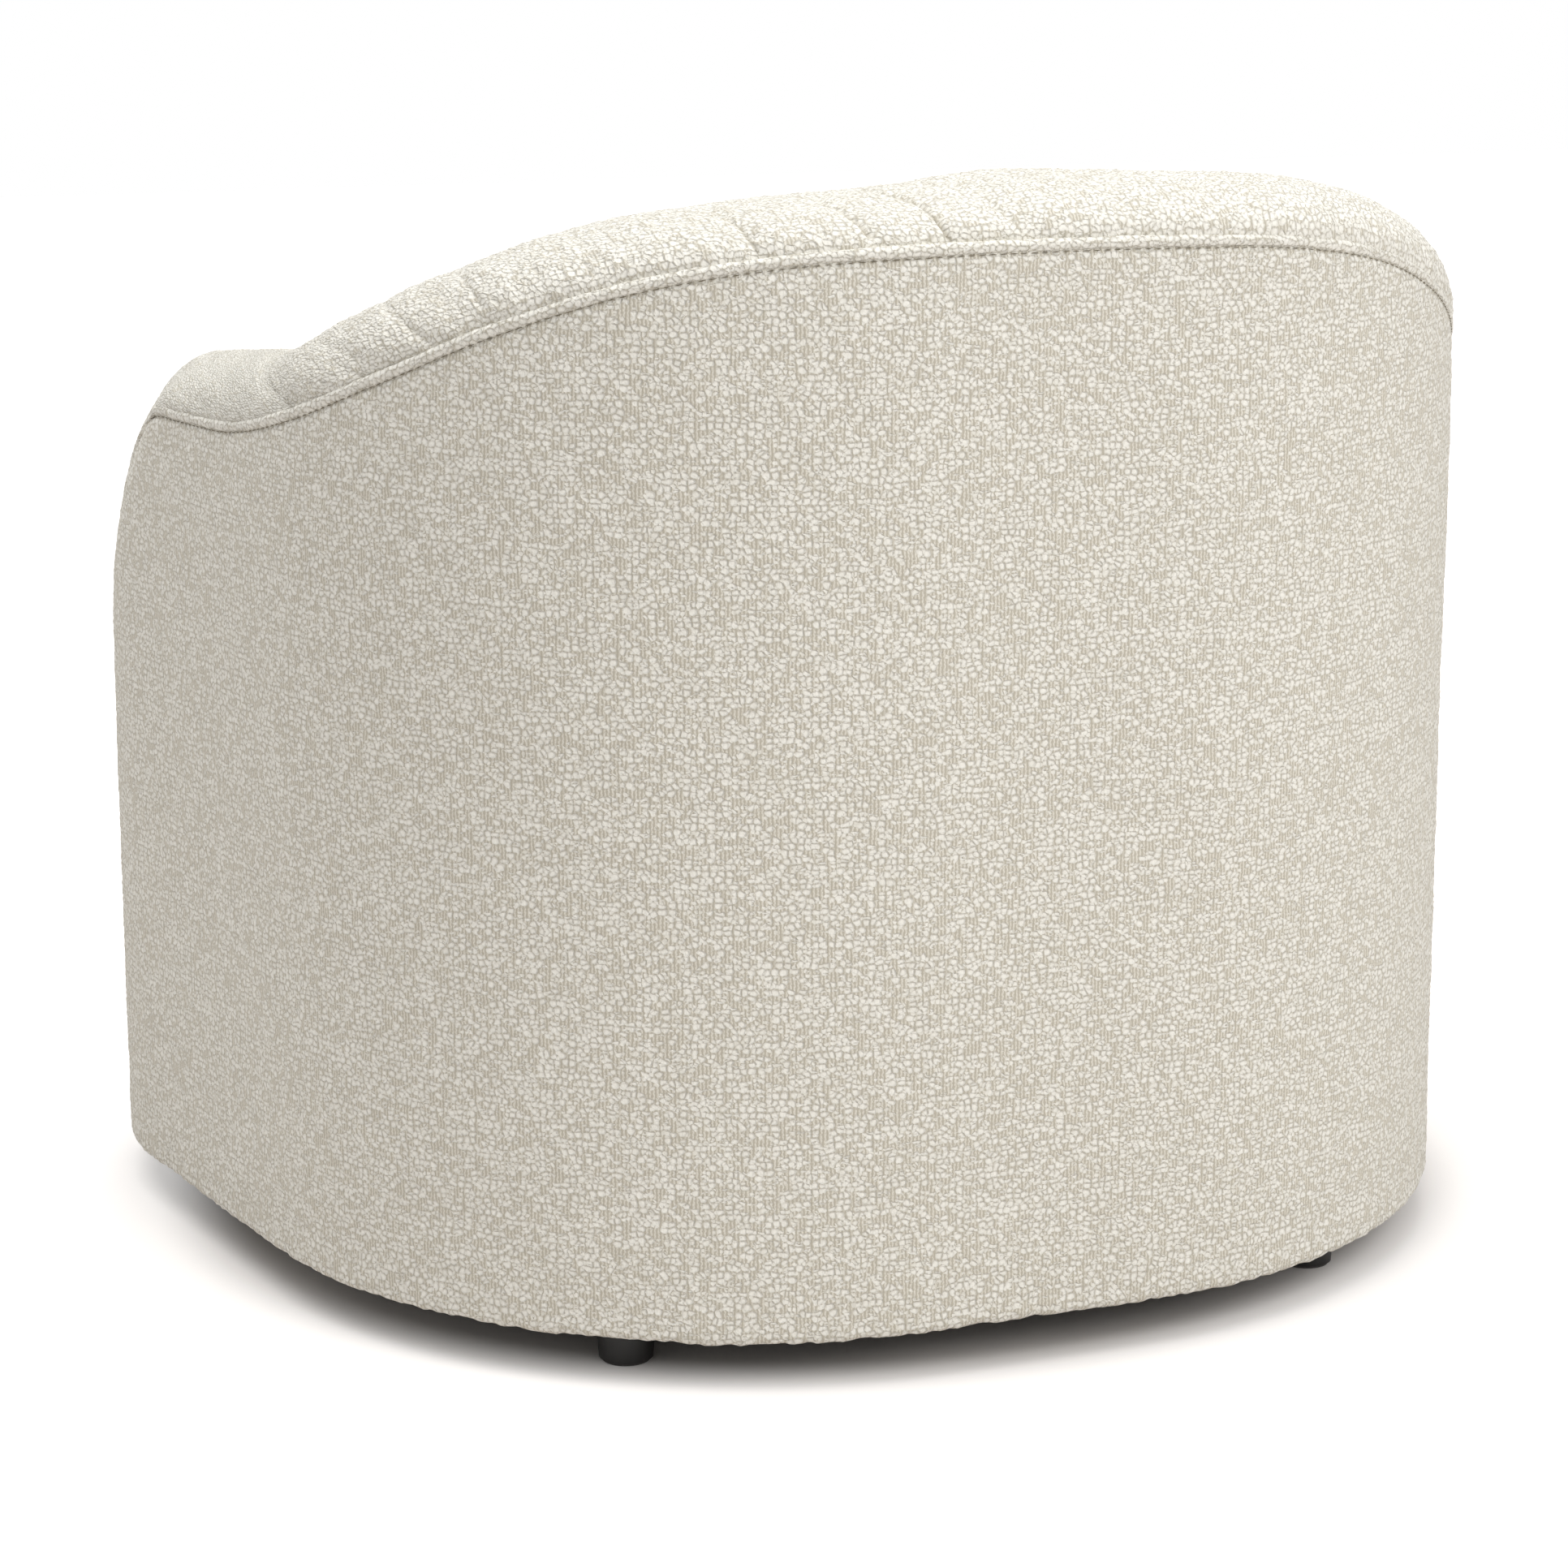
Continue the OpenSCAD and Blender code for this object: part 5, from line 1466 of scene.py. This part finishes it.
@dataclass
class SeatCushion:
    """The loose seat cushion: a crowned pad, piped on both edges, with a zip behind."""

    form: WallForm
    outline: SeatOutline
    low_z: float = 264.8 * MM
    thick: float = 140 * MM
    crown: float = 26 * MM
    welt_r: float = 3.2 * MM
    gap: float = 7 * MM
    start_in: float = 4 * MM
    base_gap: float = 0.3 * MM
    deck_gap: float = 0.2 * MM
    base_crown: float = 2 * MM
    crown_share: float = 0.8
    innermost: float = 0.02
    cap_rings: int = 14
    side_rings: int = 16
    block_step: float = 6 * MM
    edge_step: float = 2 * MM
    at_once: int = 4096
    hollow: float = 1.5 * MM
    voxel: float = 5 * MM
    pressure: float = 4.0
    frames: int = 20
    quality: int = 5
    cap: float = 9 * MM
    seam_dip: float = 1.8 * MM
    dip_reach: float = 7 * MM
    pucker_h: float = 0.6 * MM
    pucker_step: float = 7.5 * MM
    pucker_reach: float = 22 * MM
    pucker_wander: float = 30 * MM
    side_slope: float = 0.72
    round_step: float = 0.28
    fade_over: float = 12 * MM
    fade_inside: tuple[float, float] = (10 * MM, 30 * MM)
    dome: float = 2.6
    loop_h: float = 0.7 * MM
    lumps: float = 0.5 * MM
    lump_step: float = 26 * MM
    waves: float = 0.9 * MM
    wave_step: float = 75 * MM
    boxing_from: float = 3.0
    base_from: float = 1.5
    piping_from: float = 4.0
    piping_h: float = 0.5 * MM
    piping_step: float = 2.6 * MM
    piping_sides: int = 14
    zip_half: float = 55 * MM
    coil_pitch: float = 3 * MM
    coil_high: float = 1.6 * MM
    coil_deep: float = 0.45 * MM
    coil_under: float = 0.7 * MM
    coil_wire: float = 0.4 * MM
    coil_points: int = 450
    coil_sides: int = 6
    tape_grid: tuple[int, int] = (60, 10)
    tape_waves: float = 0.25 * MM

    @property
    def edges(self) -> tuple[float, float]:
        """Return the heights of the lower and upper piping."""
        return self.low_z + 2 * self.welt_r + self.base_gap, self.low_z + self.thick

    def block(self) -> bpy.types.Object:
        """Make the closed form that the cushion swells from and return it."""
        low, high = self.edges
        loop = self.outline.loop(self.gap + self.start_in, self.block_step)
        middle, shares = self.form.middle, np.linspace(self.innermost, 1, self.cap_rings)
        base, crown = low - self.welt_r, self.crown * self.crown_share
        sections = [(f, base - self.base_crown * (1 - f**self.dome)) for f in shares]
        sections += [(1.0, z) for z in np.linspace(low, high, self.side_rings)[1:-1]]
        sections += [(f, high + crown * (1 - f**self.dome)) for f in shares[::-1]]
        rings = [np.pad(middle + (loop - middle) * f, [(0, 0), (0, 1)], constant_values=z)
                 for f, z in sections]
        points = np.stack(rings)
        count = points.shape[1]
        quads = grid_quads(*points.shape[:2], ring=True)
        lay = points[..., :2].reshape(-1, 2)
        piece = mesh_object("seat_pad", points.reshape(-1, 3), quads, lay)
        shaped = bmesh.new()
        shaped.from_mesh(piece.data)
        shaped.verts.ensure_lookup_table()
        total = len(shaped.verts)
        shaped.faces.new(shaped.verts[:count])
        shaped.faces.new(shaped.verts[total - count:][::-1])
        bmesh.ops.recalc_face_normals(shaped, faces=shaped.faces)
        shaped.to_mesh(piece.data)
        shaped.free()
        return piece

    def applied(self, piece: bpy.types.Object) -> None:
        """Put what a piece's modifiers make into its mesh."""
        graph = bpy.context.evaluated_depsgraph_get()
        made = bpy.data.meshes.new_from_object(piece.evaluated_get(graph))
        old = piece.data
        piece.modifiers.clear()
        piece.data = made
        bpy.data.meshes.remove(old)

    def swell(self, piece: bpy.types.Object) -> None:
        """Remesh the pad, blow it up as cloth and keep the result within the cap."""
        remesh = piece.modifiers.new("Even", "REMESH")
        remesh.mode, remesh.voxel_size = "VOXEL", self.voxel
        self.applied(piece)
        count = len(piece.data.vertices)
        rest = np.empty(count * 3)
        piece.data.vertices.foreach_get("co", rest)
        cloth = piece.modifiers.new("Cloth", "CLOTH")
        cloth.settings.use_pressure = True
        cloth.settings.uniform_pressure_force = self.pressure
        cloth.settings.effector_weights.gravity = 0
        cloth.settings.quality = self.quality
        scene = bpy.context.scene
        for number in range(1, self.frames + 1):
            scene.frame_set(number)
        self.applied(piece)
        scene.frame_set(1)
        blown = np.empty(count * 3)
        piece.data.vertices.foreach_get("co", blown)
        rest, blown = rest.reshape(-1, 3), blown.reshape(-1, 3)
        move = blown - rest
        size = np.linalg.norm(move, axis=1, keepdims=True)
        move *= np.minimum(1, self.cap / np.maximum(size, TINY))
        piece.data.vertices.foreach_set("co", (rest + move).ravel())
        smooth = piece.modifiers.new("Fine", "SUBSURF")
        smooth.levels = smooth.render_levels = 1
        self.applied(piece)

    def finished(self, piece: bpy.types.Object) -> None:
        """Pull the seams in, raise the loops and note where each point is on the cloth."""
        mesh, (low, high) = piece.data, self.edges
        count = len(mesh.vertices)
        co, no = np.empty(count * 3), np.empty(count * 3)
        mesh.vertices.foreach_get("co", co)
        mesh.vertex_normals.foreach_get("vector", no)
        co, no = co.reshape(-1, 3), no.reshape(-1, 3)
        flat = np.abs(no[:, 2]) > self.side_slope
        round_it = np.arctan2(co[:, 0], -co[:, 1]) * self.round_step
        across = co[:, 1] + np.where(no[:, 2] > 0, 0.0, self.base_from)
        u = np.where(flat, co[:, 0], round_it + self.boxing_from)
        v = np.where(flat, across, co[:, 2])
        height = self.loop_h * loops(u, v, seed=71)
        height += self.lumps * rolling(u, v, self.lump_step, seed=72)
        height += self.waves * rolling(u, v, self.wave_step, seed=73)
        inside, ahead = self.inside(co[:, :2])
        beyond = np.maximum(np.maximum(co[:, 2] - high, low - co[:, 2]), 0)
        fade, last = self.fade_inside[1] - self.fade_inside[0], self.fade_inside[1]
        held = np.clip(1 - beyond / self.fade_over, 0, 1) * np.clip((last - inside) / fade, 0, 1)
        short = np.maximum(inside - self.hollow, 0) * held
        co[:, :2] += ahead * short[:, None]
        wander = 2 * rolling(round_it, 0 * v, self.pucker_wander, seed=74)
        pucker = np.sin(round_it / self.pucker_step + wander)
        for z in (low, high):
            away = np.hypot(inside - short, co[:, 2] - z)
            height -= self.seam_dip * hump(away, self.dip_reach)
            height += self.pucker_h * pucker * hump(away, self.pucker_reach)
        co = co + no * height[:, None]
        co[:, 2] = np.maximum(co[:, 2], self.low_z + self.deck_gap)
        mesh.vertices.foreach_set("co", co.ravel())
        keep_places(mesh, np.stack([u, v], axis=1))
        mesh.update()

    def inside(self, plan: Array) -> tuple[Array, Array]:
        """Return how far plan points lie inside the boxing's outline, and the way out."""
        line = self.outline.loop(self.gap, self.edge_step)
        run = np.roll(line, -1, axis=0) - np.roll(line, 1, axis=0)
        ahead = np.stack([run[:, 1], -run[:, 0]], axis=1)
        ahead /= np.linalg.norm(ahead, axis=1, keepdims=True)
        ahead *= np.sign((ahead * line).sum())
        place = np.zeros(len(plan), int)
        for start in range(0, len(plan), self.at_once):
            part = slice(start, start + self.at_once)
            place[part] = ((plan[part, None] - line[None]) ** 2).sum(-1).argmin(1)
        return ((line[place] - plan) * ahead[place]).sum(1), ahead[place]

    def piping(self, wardrobe: Wardrobe) -> bpy.types.Object:
        """Build the two piped edges, dress them and return them."""
        loop = self.outline.loop(self.gap + self.welt_r, self.piping_step)
        parts, faces, lays, sides = [], [], [], self.piping_sides
        for n, z in enumerate(self.edges):
            line = np.pad(loop, [(0, 0), (0, 1)], constant_values=z)
            up = np.broadcast_to(np.array([0.0, 0.0, 1.0]), line.shape)
            rings, out = tube(line, up, self.welt_r, sides, closed=True)
            u = lengths(rings, 0)
            turn = np.arange(sides) * TURN * self.welt_r / sides
            v = np.broadcast_to(turn, u.shape)
            height = self.piping_h * (loops(u, v, seed=81 + n) - 0.5)
            rings = rings + out * height[..., None]
            whole = np.concatenate([rings, rings[:1]])
            index = grid_quads(len(whole), sides, ring=True)
            index %= len(line) * sides
            faces.append(index + n * len(line) * sides)
            parts.append(rings.reshape(-1, 3))
            lays.append(np.stack([u, v + self.piping_from], axis=-1).reshape(-1, 2))
        points = np.concatenate(parts)
        piece = mesh_object("cushion_piping", points, np.concatenate(faces), np.concatenate(lays))
        return wardrobe.dress(
            piece, "cover_cloth", "seat_cushion", ("cushion_welts",))

    def zip_row(self, wardrobe: Wardrobe) -> bpy.types.Object:
        """Build the zip's tape and its coil of teeth, dress them and return them."""
        low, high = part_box("zip_tape")
        middle = (low[2] + high[2]) / 2
        face_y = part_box("zip_slider")[0][1]
        sides, (columns, rows) = self.coil_sides, self.tape_grid
        x = np.linspace(-self.zip_half, self.zip_half, self.coil_points)
        turn = x * TURN / self.coil_pitch
        line = np.stack([x, face_y + self.coil_under + self.coil_deep * np.cos(turn),
                         middle + self.coil_high * np.sin(turn)], axis=1)
        up = np.broadcast_to(np.array([0.0, 1.0, 0.0]), line.shape)
        coil = tube(line, up, self.coil_wire, sides, closed=False)[0].reshape(-1, 3)
        gx, gz = np.meshgrid(np.linspace(low[0], high[0], columns),
                             np.linspace(low[2], high[2], rows), indexing="ij")
        gy = face_y + self.tape_waves * rolling(gx, gz, 12 * MM, seed=91)
        points = np.concatenate([coil, np.stack([gx, gy, gz], axis=-1).reshape(-1, 3)])
        quads = np.concatenate([grid_quads(len(line), sides, ring=True),
                                grid_quads(columns, rows) + len(coil)])
        piece = mesh_object("zip_coil_and_tape", points, quads, points[:, ::2])
        return wardrobe.dress(piece, "webbing", "seat_cushion", ("zip_tape",))

    def build(self, wardrobe: Wardrobe) -> bpy.types.Object:
        """Build the whole cushion, dress it and return its pad."""
        piece = self.block()
        self.swell(piece)
        self.finished(piece)
        nodes = ("cushion_top_panel", "cushion_boxing", "cushion_base_panel",
                 "cushion_fibre_top", "cushion_fibre_base", "cushion_foam")
        wardrobe.dress(piece, "cover_cloth", "seat_cushion", nodes)
        self.piping(wardrobe)
        self.zip_row(wardrobe)
        return piece


# Studio


@dataclass(frozen=True)
class Lamp:
    """A soft square lamp: where it hangs, its size and its strength."""

    name: str
    place: Colour
    size: float
    watts: float
    colour: Colour = (1.0, 1.0, 1.0)


@dataclass(frozen=True)
class Studio:
    """The floor, the lights, and the camera at the photograph's angle."""

    camera_at: Colour = (0.9582, 2.3993, 0.8609)
    right: Colour = (-0.92892, 0.37028, 0.0)
    up: Colour = (-0.07891, -0.19795, 0.97703)
    lens: float = 92.80
    sensor: float = 36.0
    shift: tuple[float, float] = (-0.0104, -0.0311)
    floor_half: float = 8.0
    floor_colour: Colour = (0.80, 0.765, 0.74)
    footprint: tuple[float, float] = (0.42, 0.385)
    # painted shadow: the glow rings lift the floor to white by distance from the footprint, and
    # shade_aside moves their centre so the shade reaches further to one side
    shade_aside: Colour = (0.020, -0.010, 0.0)
    near_glow: tuple[float, float, float] = (0.90, 1.06, 0.38)
    rim_glow: tuple[float, float, float] = (1.0, 1.45, 0.26)
    far_glow: tuple[float, float, float] = (1.5, 5.0, 0.25)
    world_light: float = 0.46
    clip: tuple[float, float] = (0.05, 100.0)
    aim: Colour = (0.0, 0.0, 0.35)
    lamps: tuple[Lamp, ...] = (
        Lamp("key_lamp", (-1.3, 2.7, 2.3), 2.2, 50.0),
        Lamp("top_lamp", (0.5, -0.1, 3.2), 3.0, 70.0),
    )

    def camera(self) -> None:
        """Place the camera by its right and up directions."""
        data = bpy.data.cameras.new("photo_camera")
        data.sensor_width, data.lens = self.sensor, self.lens
        data.sensor_fit = "HORIZONTAL"
        data.shift_x, data.shift_y = self.shift
        data.clip_start, data.clip_end = self.clip
        data.dof.use_dof = False
        camera = bpy.data.objects.new("photo_camera", data)
        bpy.context.scene.collection.objects.link(camera)
        right, up = Vector(self.right).normalized(), Vector(self.up).normalized()
        back = right.cross(up)
        turned = Matrix((right, up, back)).transposed()
        camera.matrix_world = Matrix.Translation(self.camera_at) @ turned.to_4x4()
        bpy.context.scene.camera = camera

    def floor(self) -> None:
        """Lay a pale floor that keeps the chair's shadow, with a camera-only glow that rises with
        distance from the chair: painted light that gives the shadow its fading edge and keeps the
        floor white further out.
        """
        g = Graph(bpy.data.materials.new("studio_floor"))
        ray = g.add("LightPath").outputs
        seen = g.maths("MAXIMUM", ray["Is Camera Ray"], ray["Is Glossy Ray"])
        seen = g.maths("MAXIMUM", seen, ray["Is Transmission Ray"])
        matt = g.add("BsdfDiffuse", {"Color": (*self.floor_colour, 1.0)})
        place = g.add("TexCoord").outputs["Object"]
        shares = g.scaled(place, (1 / self.footprint[0], 1 / self.footprint[1], 0.0))
        shares = g.add("VectorMath", {0: shares, 1: self.shade_aside}, operation="ADD").outputs[0]
        away = g.add("VectorMath", {0: shares}, operation="LENGTH").outputs["Value"]
        # painted light: the floor glows more the farther it lies from the chair, which paints the
        # shadow's fading edge
        rings = [g.eased(away, ring[0], ring[1], (0, ring[2]))
                 for ring in (self.near_glow, self.rim_glow, self.far_glow)]
        glowing = g.maths("ADD", g.maths("ADD", rings[0], rings[1]), rings[2])
        glow = g.add("Emission", {"Strength": g.maths("MULTIPLY", seen, glowing)})
        both = g.add("AddShader", {0: matt.outputs[0], 1: glow.outputs[0]})
        g.add("OutputMaterial", {"Surface": both.outputs[0]})
        half = self.floor_half
        corners = np.array([(x, y, 0.0) for x in (-half, half) for y in (-half, half)])
        floor = mesh_object("studio_floor", corners, grid_quads(2, 2), corners[:, :2])
        floor.data.materials.append(g.owner)

    def light(self) -> None:
        """Hang the lamps and light the world evenly, white to the camera."""
        for lamp in self.lamps:
            data = bpy.data.lights.new(lamp.name, "AREA")
            data.shape, data.size, data.energy = "SQUARE", lamp.size, lamp.watts
            data.color = lamp.colour
            hung = bpy.data.objects.new(lamp.name, data)
            bpy.context.scene.collection.objects.link(hung)
            hung.location = lamp.place
            ahead = Vector(self.aim) - Vector(lamp.place)
            hung.rotation_euler = ahead.to_track_quat("-Z", "Y").to_euler()
        g = Graph(bpy.data.worlds.new("studio_world"))
        bpy.context.scene.world = g.owner
        ray = g.add("LightPath").outputs
        seen = g.maths("MAXIMUM", ray["Is Camera Ray"], ray["Is Glossy Ray"])
        strength = g.add("Mix", {0: seen, 2: self.world_light, 3: 1.0}).outputs[0]
        background = g.add("Background", {"Color": (1.0,) * 4, "Strength": strength})
        g.add("OutputWorld", {"Surface": background.outputs[0]})
        bpy.context.scene.view_settings.view_transform = "Standard"

    def build(self) -> None:
        """Set up the camera, the floor and the lights."""
        self.camera()
        self.floor()
        self.light()
        log.info("studio ready")


def main() -> None:
    """Build the studio and the chair's pieces in order."""
    logging.basicConfig(level=logging.INFO, format="%(name)s: %(message)s")
    form = WallForm()
    outline = SeatOutline(form)
    wardrobe = Wardrobe()
    Studio().build()
    OutsidePanel(form).build(wardrobe)
    GatheredRoll(form).build(wardrobe)
    ArmFront(form, 1, "arm_front_pad_left").build(wardrobe)
    ArmFront(form, -1, "arm_front_pad_right").build(wardrobe)
    Apron(form).build(wardrobe)
    SeamWelt(form).build(wardrobe)
    Underlay(form, outline).build(wardrobe)
    SeatCushion(form, outline).build(wardrobe)
    wardrobe.dress_nodes()


if __name__ == "__main__":
    main()
